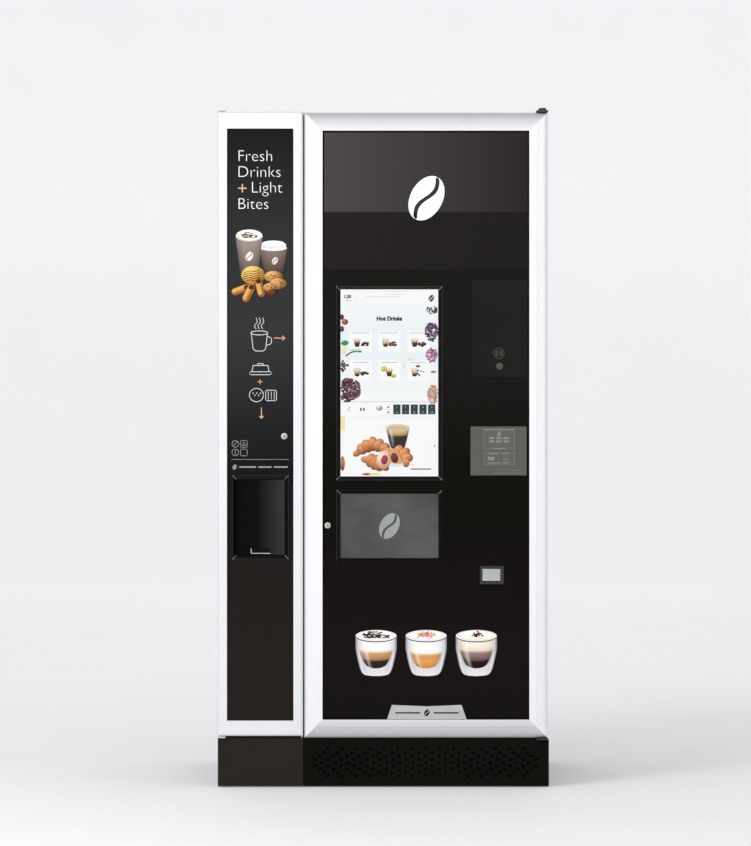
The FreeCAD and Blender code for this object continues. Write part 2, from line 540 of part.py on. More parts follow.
tubes = []
for k in range(5):
    angle = math.radians(-90 + 72 * k)
    tx, ty = TURRET_X + TUBE_CIRCLE * math.cos(angle), TURRET_Y + TUBE_CIRCLE * math.sin(angle)
    tubes.append(tube("z", tx, ty, 1306.0, CUP_TUBE_R, CUP_TUBE_R - 1.5, 430.0))
turret_core = rod("z", TURRET_X, TURRET_Y, 1270.0, 10.0, 490.0)
discs = []
for z in (1300.0, 1736.0):
    disc = rod("z", TURRET_X, TURRET_Y, z, 125.0, 6.0)
    mouths = []
    for k in range(5):
        angle = math.radians(-90 + 72 * k)
        mouths.append(rod("z", TURRET_X + TUBE_CIRCLE * math.cos(angle),
                          TURRET_Y + TUBE_CIRCLE * math.sin(angle), z - 1, CUP_TUBE_R - 1.5, 8))
    discs.append(cut(disc, mouths))
save("cup_turret", fuse(discs + [turret_core]), *tubes)

# Turret bearing plate and the sloping tube a cup drops through.
DROP_TOP = vec(TURRET_X, TURRET_Y - TUBE_CIRCLE, 1275.0)
DROP_END = vec(12.0, -212.0, 862.0)
bearing = box(-205.0, 70.0, -190.0, WALL_PLATE_Y, 1276.0, 1284.0)
bearing = cut(bearing, [rod("z", TURRET_X, TURRET_Y, 1270, 10.4, 20),
                        rod("z", TURRET_X, TURRET_Y - TUBE_CIRCLE, 1270, 42.0, 20)])
run = DROP_END - DROP_TOP
drop = Part.makeCylinder(44.0, run.Length, DROP_TOP, run).cut(
    Part.makeCylinder(42.0, run.Length + 4, DROP_TOP - run * 0.004, run))
drop = drop.cut(box(-300, 300, -400, 100, 1270.0, 1400.0))
drop_arm = box(-140.0, -110.0, -150.0, WALL_PLATE_Y, 1180.0, 1186.0).cut(
    Part.makeCylinder(44.0, run.Length, DROP_TOP, run))
save("cup_dispenser_frame", bearing, drop, drop_arm)

HOPPER = (90.0, 240.0, -185.0, 55.0)
hopper_arm = box(150, 180, 55, WALL_PLATE_Y, 1700, 1712)
save("bean_hopper", *(funnel((127, 203, -103, -27), HOPPER, 1570.0, 1650.0, 2.5)
                      + funnel(HOPPER, HOPPER, 1650.0, 1785.0, 2.5) + [hopper_arm]))

grinder = [rod("z", 165.0, -65.0, 1440.0, 56.0, 112.0), rod("z", 165.0, -65.0, 1552.0, 36.0, 17.0),
           box(130, 200, -65, WALL_PLATE_Y, 1450, 1540), box(148, 182, -150, -65, 1440, 1480),
           rod("z", 165.0, -138.0, 1402.0, 14.0, 50.0)]
save("coffee_grinder", fuse(grinder))

brew = [box(95, 101, -190, WALL_PLATE_Y, 1080, 1380), box(229, 235, -190, WALL_PLATE_Y, 1080, 1380),
        box(101, 229, WALL_PLATE_Y - 6, WALL_PLATE_Y, 1080, 1380), box(101, 229, -190, 40, 1080, 1092),
        rod("z", 165.0, -110.0, 1092.0, 38.0, 150.0), rod("z", 165.0, -110.0, 1242.0, 20.0, 40.0),
        box(101, 229, -150, -70, 1282, 1300), rod("z", 120.0, -40.0, 1092.0, 6.0, 190.0),
        rod("z", 210.0, -40.0, 1092.0, 6.0, 190.0), box(101, 229, -60, -20, 1282, 1300)]
save("brew_unit", fuse(brew))

tank = rod("z", 325.0, 0.0, 1090.0, 50.0, 190.0)
tank = tank.makeFillet(18.0, [e for e in tank.Edges if e.Closed])
fittings = [tank, box(305, 345, 30, WALL_PLATE_Y, 1120, 1136), box(305, 345, 30, WALL_PLATE_Y, 1230, 1246),
            rod("z", 310.0, -15.0, 1275.0, 5.0, 30.0), rod("z", 340.0, -15.0, 1275.0, 5.0, 22.0),
            rod("z", 325.0, 15.0, 1275.0, 9.0, 12.0)]
save("boiler", fuse(fittings))

pump = [rod("x", 280.0, 20.0, 985.0, 26.0, 62.0), box(342, 378, -10, 50, 960, 1012),
        rod("z", 360.0, 20.0, 1012.0, 5.0, 20.0), box(290, 330, 20, WALL_PLATE_Y, 955, 961),
        box(300, 320, 20, WALL_PLATE_Y, 961, 975)]
save("water_pump", fuse(pump))

def loose_lid(x0, x1, y0, y1, z):
    """Lid resting on a rim at z, with a shallow plug inside it and a grip on top."""
    middle_x, middle_y = (x0 + x1) / 2, (y0 + y1) / 2
    return fuse([box(x0 - 2, x1 + 2, y0 - 2, y1 + 2, z, z + 4),
                 box(x0 + 4, x1 - 4, y0 + 4, y1 - 4, z - 4, z),
                 box(middle_x - 12, middle_x + 12, middle_y - 20, middle_y + 20, z + 4, z + 9)])


canisters, bowls = [], []
lids = [loose_lid(90, 240, -185, 55, 1785)]
for x in AUGER_X:
    # A spout leads the powder from the front wall down into the mixer bowl.
    bores = [rod("y", x, -203.0, AUGER_Z, 17.0, 40.0), rod("y", x, 50, AUGER_Z, 4.8, 20)]
    for wall in open_box((x - 27, x + 27, -170, 60), 1424, 1700, 2.0):
        canisters.append(wall.cut(bores))
    spout = rod("y", x, -206.0, AUGER_Z, 19.0, 36.0)
    canisters.append(cut(spout, [bores[0], box(x - 9, x + 9, -203, -187, 1420, AUGER_Z)]))
    canisters.append(box(x - 10, x + 10, 60, WALL_PLATE_Y, 1500, 1510))
    lids.append(loose_lid(x - 27, x + 27, -170, 60, 1700))
    bowl = Part.makeCone(12.0, 27.0, 70.0, vec(x, -194, 1330), vec(0, 0, 1)).cut(
        Part.makeCone(10.0, 25.0, 72.0, vec(x, -194, 1329), vec(0, 0, 1)))
    pipe = tube("z", x, -194.0, 1290.0, 12.0, 10.0, 40.0)
    arm = box(x - 5, x + 5, -169.5, WALL_PLATE_Y, 1384, 1392)
    bowls.append(fuse([bowl, pipe, arm]))
save("ingredient_canisters", *canisters)
save("container_lids", *lids)
save("mixer_bowls", *bowls)


def auger(x):
    """Powder auger: a wire helix carried on its shaft by short spokes."""
    parts = [rod("y", x, -198.0, AUGER_Z, 4.0, 308.0),
             helix_strip(x, -185.0, AUGER_Z, 13.0, 2.0, 30.0, 210.0)]
    for y in (-185.0, -95.0, -5.0, 25.0):
        parts.append(rod("x", x, y, AUGER_Z, 1.6, 13.0))
    return fuse(parts)


for number, x in enumerate(AUGER_X, 1):
    save("auger_%d" % number, auger(x))

# Gear motors, and the fan frame on the rear wall.
motors = []
for x in AUGER_X:
    motors.append(box(x - 22, x + 22, WALL_PLATE_Y + 2, 140, AUGER_Z - 24, AUGER_Z + 24).cut(
        rod("y", x, 70, AUGER_Z, 4.6, 45)))
motors.append(box(TURRET_X - 26, TURRET_X + 26, TURRET_Y - 26, TURRET_Y + 26, 1222, 1276).cut(
    rod("z", TURRET_X, TURRET_Y, 1266, 10.4, 20)))
motors.append(box(SPIRAL_X - 24, SPIRAL_X + 24, 243, 290, SPIRAL_Z - 24, SPIRAL_Z + 24).cut(
    rod("y", SPIRAL_X, 235, SPIRAL_Z, 5.4, 35)))
FAN_Y0, FAN_Y1 = 318.0, BACK - SHEET
fan_frame = box(FAN_X - 60, FAN_X + 60, FAN_Y0, FAN_Y1, FAN_Z - 60, FAN_Z + 60).cut(
    rod("y", FAN_X, FAN_Y0 - 1, FAN_Z, 56.0, 40))
spokes = [rod("y", FAN_X, FAN_Y0, FAN_Z, 17.0, 4.0)]
for k in range(4):
    spoke = box(FAN_X, FAN_X + 57, FAN_Y0, FAN_Y0 + 4, FAN_Z - 2.5, FAN_Z + 2.5)
    spoke.rotate(vec(FAN_X, 0, FAN_Z), vec(0, 1, 0), 45 + 90 * k)
    spokes.append(spoke)
fan_frame = fuse([fan_frame] + spokes + [rod("y", FAN_X, FAN_Y0, FAN_Z, 3.0, 20.0)])
save("drive_motors", *(motors + [fan_frame]))

blades = [tube("y", FAN_X, FAN_Y0 + 6, FAN_Z, 18.0, 3.3, 18.0)]
for k in range(7):
    blade = box(FAN_X + 16, FAN_X + 53, FAN_Y0 + 14, FAN_Y0 + 15.6, FAN_Z - 12, FAN_Z + 12)
    blade.rotate(vec(FAN_X, FAN_Y0 + 14.8, FAN_Z), vec(1, 0, 0), 25)
    blade.rotate(vec(FAN_X, 0, FAN_Z), vec(0, 1, 0), 360.0 / 7 * k)
    blades.append(blade)
save("fan_rotor", fuse(blades))

slots = [box(-60 + 16 * k, -52 + 16 * k, -300, -225, 595, 603) for k in range(10)]
save("cup_station", box(-105, 135, -316, -112, 596, 602).cut(slots),
     box(-105, -102, -316, -112, 602, 818), box(132, 135, -316, -112, 602, 818),
     box(-102, 132, -115, -112, 602, 812), box(-102, 132, -150, -112, 812, 818),
     box(-70, 95, -222, -112, 543, 596), rod("z", 16.0, -236.0, 768.0, 9.0, 22.0),
     box(-30, 60, -250, -200, 790, 818), box(-5, 35, -200, -150, 806, 818),
     tube("z", 16.0, -236.0, 602.0, 40.0, 37.0, 6.0))

save("waste_bucket", *open_box((40, 300, -215, 60), 137, 500, 3.0))
psu = box(322, 444, -200, 150, 137, 520)
psu_vents = [box(321, 323, -180 + 14 * k, -174 + 14 * k, 200, 300) for k in range(12)]
save("power_supply_box", cut(psu, psu_vents))

water = fuse([rod("y", 250.0, BACK, 220.0, 20.0, 5.0), rod("y", 250.0, BACK, 220.0, 13.2, 20.0)])
water = cut(water, [rod("y", 250.0, BACK + 2, 220.0, 9.5, 20.0)])
mains = box(300, 350, BACK, REAR - 4, 202, 238).cut(box(312, 338, BACK + 2, REAR, 211, 229))
pins = []
for x, z in ((318, 217), (332, 217), (325, 223)):
    pins.append(box(x - 1, x + 1, BACK + 1, REAR - 8, z - 2.5, z + 2.5))
save("rear_inlets", water, fuse([mains] + pins))

# ---- snack and lid equipment ----------------------------------------------------------
def snack_tray(z):
    """Shelf sheet, side lips and rear plate, hung between the module walls."""
    x0, x1 = SIDE_X0 + SHEET, SIDE_X1 - SHEET
    return [box(x0, x1, -300, 243, z, z + 2), box(x0, x0 + 3, -300, 240, z + 2, z + 110),
            box(x1 - 3, x1, -300, 240, z + 2, z + 110), box(x0, x1, 240, 243, z + 2, z + 110)]


low_tray = snack_tray(1255.0)
low_tray[3] = low_tray[3].cut(rod("y", SPIRAL_X, 235, SPIRAL_Z, 5.8, 20))
save("snack_shelf", *(low_tray + snack_tray(1520.0)))

# The snack spiral is eight turns of wire, each laid as six equal arcs, on a driven shaft.
SPIRAL_PITCH = 62.5
arc = helix_strip(SPIRAL_X, -280.0, SPIRAL_Z, 46.0, 2.5, SPIRAL_PITCH, SPIRAL_PITCH / 6)
coil = []
for k in range(48):
    piece = arc.copy()
    piece.rotate(vec(SPIRAL_X, 0, SPIRAL_Z), vec(0, 1, 0), 60 * k)
    piece.translate(vec(0, SPIRAL_PITCH / 6 * k, 0))
    coil.append(piece)
spiral_shaft = rod("y", SPIRAL_X, 217.0, SPIRAL_Z, 5.0, 50.0)
spoke = cut(rod("x", SPIRAL_X, 220.0, SPIRAL_Z, 2.5, 46.0), [spiral_shaft, coil[-1]])
save("snack_spiral", *(coil + [spiral_shaft, spoke]))

lid_stack = tube("z", -385.0, -185.0, 853.0, 46.0, 43.5, 380.0)
lid_foot = box(-436, -334, -234, -136, 850, 853)
save("lid_tube", fuse([lid_stack, lid_foot]))

chute = [box(-415, -250, -331, -150, 617, 620), box(-415, -412, -331, -150, 620, 847),
         box(-253, -250, -331, -150, 620, 847), box(-412, -253, -153, -150, 620, 847),
         box(-444, -219, -240, -130, 847, 850), box(-444, -415, -300, -150, 700, 712),
         box(-250, -219, -300, -150, 700, 712)]
save("delivery_chute", *chute)
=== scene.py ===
import bpy
import json
import math
import random
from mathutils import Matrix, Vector, noise
from mathutils.geometry import tessellate_polygon


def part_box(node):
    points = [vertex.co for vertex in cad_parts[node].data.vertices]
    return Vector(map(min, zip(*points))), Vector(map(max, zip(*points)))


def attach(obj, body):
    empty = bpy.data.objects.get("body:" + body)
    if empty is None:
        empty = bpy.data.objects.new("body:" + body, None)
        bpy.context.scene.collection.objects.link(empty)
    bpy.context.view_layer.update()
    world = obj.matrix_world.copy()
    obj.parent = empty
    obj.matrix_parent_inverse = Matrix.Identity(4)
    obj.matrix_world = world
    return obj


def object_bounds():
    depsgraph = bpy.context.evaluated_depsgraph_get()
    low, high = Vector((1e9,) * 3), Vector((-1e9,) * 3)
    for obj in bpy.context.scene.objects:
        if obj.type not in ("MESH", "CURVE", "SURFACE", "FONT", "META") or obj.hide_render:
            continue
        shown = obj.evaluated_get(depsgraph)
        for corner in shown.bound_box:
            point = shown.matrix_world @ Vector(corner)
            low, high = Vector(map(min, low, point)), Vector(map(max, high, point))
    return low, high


# Hot drinks vending machine with a snack and lid module, seen straight on.
# Metres, +Z up, the front faces -Y.  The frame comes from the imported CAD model.

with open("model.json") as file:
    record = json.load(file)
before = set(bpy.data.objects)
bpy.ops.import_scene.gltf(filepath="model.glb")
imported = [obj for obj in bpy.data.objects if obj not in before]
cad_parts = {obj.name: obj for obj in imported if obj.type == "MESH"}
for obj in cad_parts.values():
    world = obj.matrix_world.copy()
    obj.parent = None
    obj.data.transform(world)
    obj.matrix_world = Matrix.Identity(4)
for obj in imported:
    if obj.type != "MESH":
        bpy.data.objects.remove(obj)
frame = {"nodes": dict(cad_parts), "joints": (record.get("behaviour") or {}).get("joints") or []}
CAD_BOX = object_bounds()
NODES = frame["nodes"]
MM = 0.001

scene = bpy.context.scene
scene.view_settings.view_transform = "Standard"
scene.view_settings.look = "None"


# ---- materials ------------------------------------------------------------------------
def new_material(name):
    """Material with its node tree and its main shader."""
    m = bpy.data.materials.new(name)
    m.use_nodes = True
    return m, m.node_tree, m.node_tree.nodes["Principled BSDF"]


def link(tree, a, b):
    tree.links.new(a, b)


def math_node(tree, op, a, b=None, c=None):
    """Output of a math node; each operand is a number or a socket."""
    n = tree.nodes.new("ShaderNodeMath")
    n.operation = op
    for i, v in enumerate((a, b, c)):
        if v is None:
            continue
        if isinstance(v, (int, float)):
            n.inputs[i].default_value = v
        else:
            link(tree, v, n.inputs[i])
    return n.outputs[0]


def here(tree):
    """Object coordinates, which are the frame's metres."""
    return tree.nodes.new("ShaderNodeTexCoord").outputs["Object"]


def coords(tree, scale=(1, 1, 1)):
    """Object coordinates stretched by scale."""
    mp = tree.nodes.new("ShaderNodeMapping")
    mp.inputs["Scale"].default_value = scale
    link(tree, here(tree), mp.inputs["Vector"])
    return mp.outputs["Vector"]


def axes(tree):
    """Object coordinates as one socket for each axis."""
    sep = tree.nodes.new("ShaderNodeSeparateXYZ")
    link(tree, here(tree), sep.inputs[0])
    return sep.outputs


def noise_node(tree, vector, scale, detail=3.0, rough=0.5):
    n = tree.nodes.new("ShaderNodeTexNoise")
    n.inputs["Scale"].default_value = scale
    n.inputs["Detail"].default_value = detail
    n.inputs["Roughness"].default_value = rough
    link(tree, vector, n.inputs["Vector"])
    return n.outputs["Fac"]


def ramp(tree, fac, stops):
    """Colour ramp; stops are (position, colour)."""
    r = tree.nodes.new("ShaderNodeValToRGB")
    while len(r.color_ramp.elements) < len(stops):
        r.color_ramp.elements.new(0.5)
    for e, (pos, col) in zip(r.color_ramp.elements, stops):
        e.position = pos
        e.color = (*col, 1.0)
    link(tree, fac, r.inputs["Fac"])
    return r.outputs["Color"]


def mix_color(tree, fac, a, b, blend="MIX"):
    """Colour a mixed with b by fac; each is a value or a socket."""
    n = tree.nodes.new("ShaderNodeMix")
    n.data_type = "RGBA"
    n.blend_type = blend
    for sock, v in ((n.inputs[0], fac), (n.inputs[6], a), (n.inputs[7], b)):
        if isinstance(v, (int, float)):
            sock.default_value = v
        elif isinstance(v, tuple):
            sock.default_value = (*v, 1.0)
        else:
            link(tree, v, sock)
    return n.outputs[2]


def bump(tree, bsdf, height, strength, distance):
    b = tree.nodes.new("ShaderNodeBump")
    b.inputs["Strength"].default_value = strength
    b.inputs["Distance"].default_value = distance
    link(tree, height, b.inputs["Height"])
    link(tree, b.outputs["Normal"], bsdf.inputs["Normal"])


def surface(name, color, rough, metal=0.0, grain=900.0, grain_depth=0.00004, spread=0.12,
            stretch=(1, 1, 1), coat=0.0, alpha=1.0, spec=0.5, blotch=6.0):
    """General surface: colour and roughness drift slowly, and a fine grain stands in the bump."""
    m, t, b = new_material(name)
    slow = noise_node(t, coords(t), blotch, 4.0)
    low = tuple(c * (1 - spread) for c in color)
    high = tuple(min(1.0, c * (1 + spread)) for c in color)
    link(t, ramp(t, slow, ((0.3, low), (0.7, high))), b.inputs["Base Color"])
    fine = noise_node(t, coords(t, stretch), grain, 2.0)
    r = math_node(t, "MULTIPLY_ADD", slow, rough * 0.35, rough * 0.72)
    link(t, math_node(t, "MULTIPLY_ADD", fine, rough * 0.18, r), b.inputs["Roughness"])
    bump(t, b, fine, 0.5, grain_depth)
    b.inputs["Metallic"].default_value = metal
    b.inputs["Coat Weight"].default_value = coat
    b.inputs["Coat Roughness"].default_value = 0.05
    b.inputs["Alpha"].default_value = alpha
    b.inputs["Specular IOR Level"].default_value = spec
    return m


def srgb(r, g, b):
    """Linear colour of an 8-bit screen colour."""
    out = []
    for c in (r, g, b):
        c /= 255.0
        out.append(c / 12.92 if c <= 0.04045 else ((c + 0.055) / 1.055) ** 2.4)
    return tuple(out)


def graded(*rows):
    """Colour stops, each row given as a position and an 8-bit colour."""
    return tuple((row[0], srgb(*row[1:])) for row in rows)


MAT = {}
MAT["cabinet"] = surface("cabinet_paint", srgb(58, 58, 60), 0.42, grain=1400, coat=0.15)
MAT["plinth"] = surface("plinth_paint", srgb(14, 13, 9), 0.38, grain=1200, spec=0.03)
MAT["plinth_brown"] = surface("module_plinth_paint", srgb(37, 33, 28), 0.40, grain=1200, spec=0.08)
MAT["bezel"] = surface("bezel_black", srgb(10, 10, 11), 0.22, grain=700, grain_depth=0.00001, spec=0.12)
MAT["pay"] = surface("payment_black", srgb(26, 25, 23), 0.34, grain=1500, spec=0.04)
MAT["zinc"] = surface("zinc_sheet", srgb(176, 178, 180), 0.38, metal=0.85, grain=260, spread=0.07,
                      blotch=70.0)
MAT["steel"] = surface("brushed_steel", srgb(186, 187, 188), 0.28, metal=1.0, grain=900,
                       stretch=(1, 1, 0.03))
MAT["chrome"] = surface("bright_metal", srgb(205, 205, 206), 0.14, metal=1.0, grain=1500,
                        grain_depth=0.00001)
MAT["black_plastic"] = surface("black_plastic", srgb(30, 30, 31), 0.5, grain=2200, grain_depth=0.00008)
MAT["grey_plastic"] = surface("grey_plastic", srgb(112, 114, 118), 0.48, grain=2000, grain_depth=0.00006)
MAT["white_plastic"] = surface("white_plastic", srgb(222, 222, 218), 0.4, grain=2000, spread=0.04)
MAT["brass"] = surface("boiler_brass", srgb(196, 158, 94), 0.3, metal=1.0, grain=700, spread=0.2,
                       blotch=15.0)
MAT["rubber"] = surface("foot_rubber", srgb(28, 28, 28), 0.75, grain=1800, grain_depth=0.0001)
MAT["clear"] = surface("clear_plastic", srgb(226, 226, 222), 0.12, grain=300, alpha=0.32, spread=0.03)
MAT["badge"] = surface("badge_silver", srgb(180, 180, 181), 0.35, metal=0.2, grain=1500,
                       stretch=(0.05, 1, 1), spread=0.03)


def set_material(node, material):
    """A CAD node keeps its mesh and gets this material in every slot."""
    obj = NODES[node]
    if not obj.material_slots:
        obj.data.materials.append(material)
    for s in obj.material_slots:
        s.material = material


def axis_ramp(tree, axis, start, end, stops):
    """Colour that changes along one axis, from start to end in metres."""
    n = tree.nodes.new("ShaderNodeMapRange")
    n.inputs["From Min"].default_value = start
    n.inputs["From Max"].default_value = end
    link(tree, axes(tree)[axis], n.inputs["Value"])
    return ramp(tree, n.outputs["Result"], stops)


def edge_distances(tree, lo, hi):
    """Distance from the nearer side of the box lo to hi, along X and along Z."""
    place = axes(tree)
    out = []
    for k, axis in ((0, "X"), (2, "Z")):
        above = math_node(tree, "SUBTRACT", place[axis], lo[k])
        below = math_node(tree, "SUBTRACT", hi[k], place[axis])
        out.append(math_node(tree, "MINIMUM", above, below))
    return out


def panel_material(name, axis, start, end, stops, rough=0.12):
    """Glossy printed panel: a tone that drifts along one axis, fine orange peel, faint wipe marks."""
    m, t, b = new_material(name)
    tone = axis_ramp(t, axis, start, end, stops)
    cloud = noise_node(t, coords(t), 3.5, 3.0)
    shade = ramp(t, cloud, ((0.3, (0.90, 0.90, 0.90)), (0.7, (1.0, 1.0, 1.0))))
    link(t, mix_color(t, 1.0, tone, shade, "MULTIPLY"), b.inputs["Base Color"])
    wipe = noise_node(t, coords(t, (1.0, 1.0, 0.25)), 30.0, 5.0, 0.7)
    link(t, math_node(t, "MULTIPLY_ADD", wipe, rough * 0.8, rough * 0.6), b.inputs["Roughness"])
    bump(t, b, noise_node(t, coords(t), 420.0, 1.0), 0.25, 0.000004)
    b.inputs["Specular IOR Level"].default_value = 0.04
    return m


BLACK = srgb(15, 14, 10)
PANEL_LOW, PANEL_HIGH = 0.18, 1.78
MAT["panel"] = panel_material("panel_black", "Z", PANEL_LOW, PANEL_HIGH, (
    (0.0, srgb(17, 15, 13)), (0.14, srgb(22, 15, 16)), (0.35, BLACK), (1.0, BLACK)))
MAT["side_panel"] = panel_material("side_panel_tone", "Z", PANEL_LOW, PANEL_HIGH, graded(
    (0.0, 34, 29, 26), (0.26, 31, 27, 25), (0.42, 24, 23, 23), (0.52, 32, 33, 34),
    (0.66, 47, 48, 48), (0.82, 42, 43, 43), (1.0, 18, 18, 17)))
# Painted reflection: the glossy flap runs from black at the left to dark grey at the right.
MAT["flap"] = panel_material("hatch_flap_painted_reflection", "X", -0.401, -0.266, graded(
    (0.0, 8, 8, 8), (0.45, 14, 14, 14), (1.0, 52, 52, 54)), rough=0.1)


def header_material():
    """Smoke panel: lighter at the left, a painted reflection of the left light box, with a darker two-tone
    band below a straight edge.
    """
    m, t, b = new_material("header_smoke")
    left, right = -0.16, 0.39
    # Painted reflection: the upper tone fades from light at the left to dark at the right; the band below is
    # two-tone print.
    upper = axis_ramp(t, "X", left, right, graded((0.0, 68, 62, 64), (0.5, 54, 49, 50), (1.0, 36, 32, 33)))
    lower = axis_ramp(t, "X", left, right, graded((0.0, 30, 26, 27), (1.0, 24, 20, 22)))
    band = axis_ramp(t, "Z", 1.401, 1.770, (
        (0.0, (0, 0, 0)), (0.415, (0.02, 0.02, 0.02)), (0.425, (1, 1, 1))))
    link(t, mix_color(t, band, lower, upper), b.inputs["Base Color"])
    wipe = noise_node(t, coords(t, (0.4, 1.0, 1.0)), 24.0, 5.0, 0.7)
    link(t, math_node(t, "MULTIPLY_ADD", wipe, 0.08, 0.06), b.inputs["Roughness"])
    bump(t, b, noise_node(t, coords(t), 300.0, 1.0), 0.2, 0.000003)
    b.inputs["Specular IOR Level"].default_value = 0.03
    return m


MAT["header"] = header_material()


def door_paint(name, base, mitred=None):
    """Silver-white metallic paint with a fine grain along each bar.

    A frame named in mitred turns the grain of its lying bars at 45 degrees and gives them painted shade,
    darker than the upright bars and darkest at the frame's outer edge."""
    m, t, b = new_material(name)
    along_z = noise_node(t, coords(t, (1.0, 1.0, 0.012)), 650.0, 3.0, 0.65)
    wave = noise_node(t, coords(t, (1.0, 1.0, 1.6)), 9.0, 2.0)
    tone = mix_color(t, along_z, *base)
    if mitred:
        dx, dz = edge_distances(t, *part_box(mitred))
        lying = math_node(t, "LESS_THAN", dz, dx)
        # Painted shade on the lying bars: dark at the frame's outer edge, lighter towards the opening.
        across = ramp(t, math_node(t, "DIVIDE", dz, 0.05), graded(
            (0.0, 168, 167, 170), (0.35, 186, 185, 188), (0.8, 202, 201, 204), (1.0, 216, 215, 218)))
        along_x = noise_node(t, coords(t, (0.012, 1.0, 1.0)), 650.0, 3.0, 0.65)
        lying_painted_shade = mix_color(t, math_node(t, "MULTIPLY", along_x, 0.3), across, srgb(216, 217, 220))
        tone = mix_color(t, lying, tone, lying_painted_shade)
    link(t, tone, b.inputs["Base Color"])
    b.inputs["Metallic"].default_value = 0.15
    link(t, math_node(t, "MULTIPLY_ADD", wave, 0.12, 0.30), b.inputs["Roughness"])
    bump(t, b, along_z, 0.12, 0.00001)
    b.inputs["Coat Weight"].default_value = 0.25
    return m


MAT["door"] = door_paint("main_door_paint", (srgb(236, 237, 239), srgb(224, 225, 227)), "main_door_frame")
MAT["side_frame"] = door_paint("side_door_paint", (srgb(227, 227, 229), srgb(217, 217, 219)))


def smoke_glass():
    """Smoked cup window that lets a little of the inside show."""
    m, t, b = new_material("window_smoke")
    cloud = noise_node(t, coords(t, (1.0, 1.0, 1.4)), 7.0, 3.0)
    link(t, ramp(t, cloud, graded((0.3, 70, 70, 68), (0.7, 96, 96, 93))), b.inputs["Base Color"])
    b.inputs["Roughness"].default_value = 0.18
    b.inputs["Alpha"].default_value = 0.86
    b.inputs["Specular IOR Level"].default_value = 0.12
    bump(t, b, noise_node(t, coords(t), 260.0, 1.0), 0.2, 0.000003)
    return m


MAT["window"] = smoke_glass()

NODE_LOOKS = {
    "cabinet": ("main_side_walls", "main_roof", "module_shell"),
    "zinc": ("main_back_wall", "main_floor", "strike_plates", "equipment_shelf", "power_supply_box",
             "snack_shelf", "door_liner"),
    # base_frame also takes the near-black plinth paint, painted shade for what shows through the grille
    # holes.
    "plinth": ("base_grille", "base_frame"),
    "plinth_brown": ("module_plinth",),
    "rubber": ("levelling_feet",),
    "black_plastic": ("coffee_grinder", "container_lids", "drive_motors", "delivery_chute",
                      "coin_return_cup", "cup_door_motor", "fan_rotor"),
    "grey_plastic": ("brew_unit", "waste_bucket", "coin_changer"),
    "white_plastic": ("mixer_bowls", "cup_dispenser_frame", "cup_door_rack", "cup_door_pinion",
                      "auger_1", "auger_2", "auger_3"),
    "clear": ("bean_hopper", "ingredient_canisters", "lid_tube", "cup_turret"),
    "brass": ("boiler",),
    "steel": ("water_pump", "cup_station", "coin_return_flap", "snack_spiral"),
    "chrome": ("rear_inlets", "main_lock_cylinder", "side_lock_cylinder"),
    "door": ("main_door_frame",),
    "side_frame": ("side_door_frame",),
    "panel": ("main_door_panel",),
    "side_panel": ("side_door_panel",),
    "flap": ("hatch_flap",),
    "header": ("header_panel",),
    "bezel": ("touchscreen",),
    "pay": ("payment_panel",),
    "window": ("cup_door_window",),
    "badge": ("frame_badge",),
}
for look, names in NODE_LOOKS.items():
    for node in names:
        set_material(node, MAT[look])
set_material("card_reader", surface("reader_plate_grey", srgb(86, 86, 81), 0.3, grain=1300, spread=0.05,
                                    spec=0.12))


# ---- printed artwork ------------------------------------------------------------------
def print_material(name, rough=0.25, glow=0.0):
    """Ink whose colour is carried by the mesh; a lit screen also gives it off."""
    m, t, b = new_material(name)
    c = t.nodes.new("ShaderNodeVertexColor")
    c.layer_name = "ink"
    grain = noise_node(t, coords(t), 1800.0, 1.0)
    link(t, math_node(t, "MULTIPLY_ADD", grain, 0.06, rough), b.inputs["Roughness"])
    b.inputs["Specular IOR Level"].default_value = 0.08
    b.inputs["Base Color"].default_value = (0.02, 0.02, 0.02, 1.0)
    b.inputs["Emission Strength"].default_value = glow
    link(t, c.outputs["Color"], b.inputs["Emission Color" if glow else "Base Color"])
    return m


MAT["ink"] = print_material("panel_print")
MAT["screen_ink"] = print_material("screen_print", rough=0.3, glow=0.92)


PRINT_GAP = 0.05   # millimetres from a surface to the first layer of print
LAYER = 0.012      # millimetres from one layer to the next


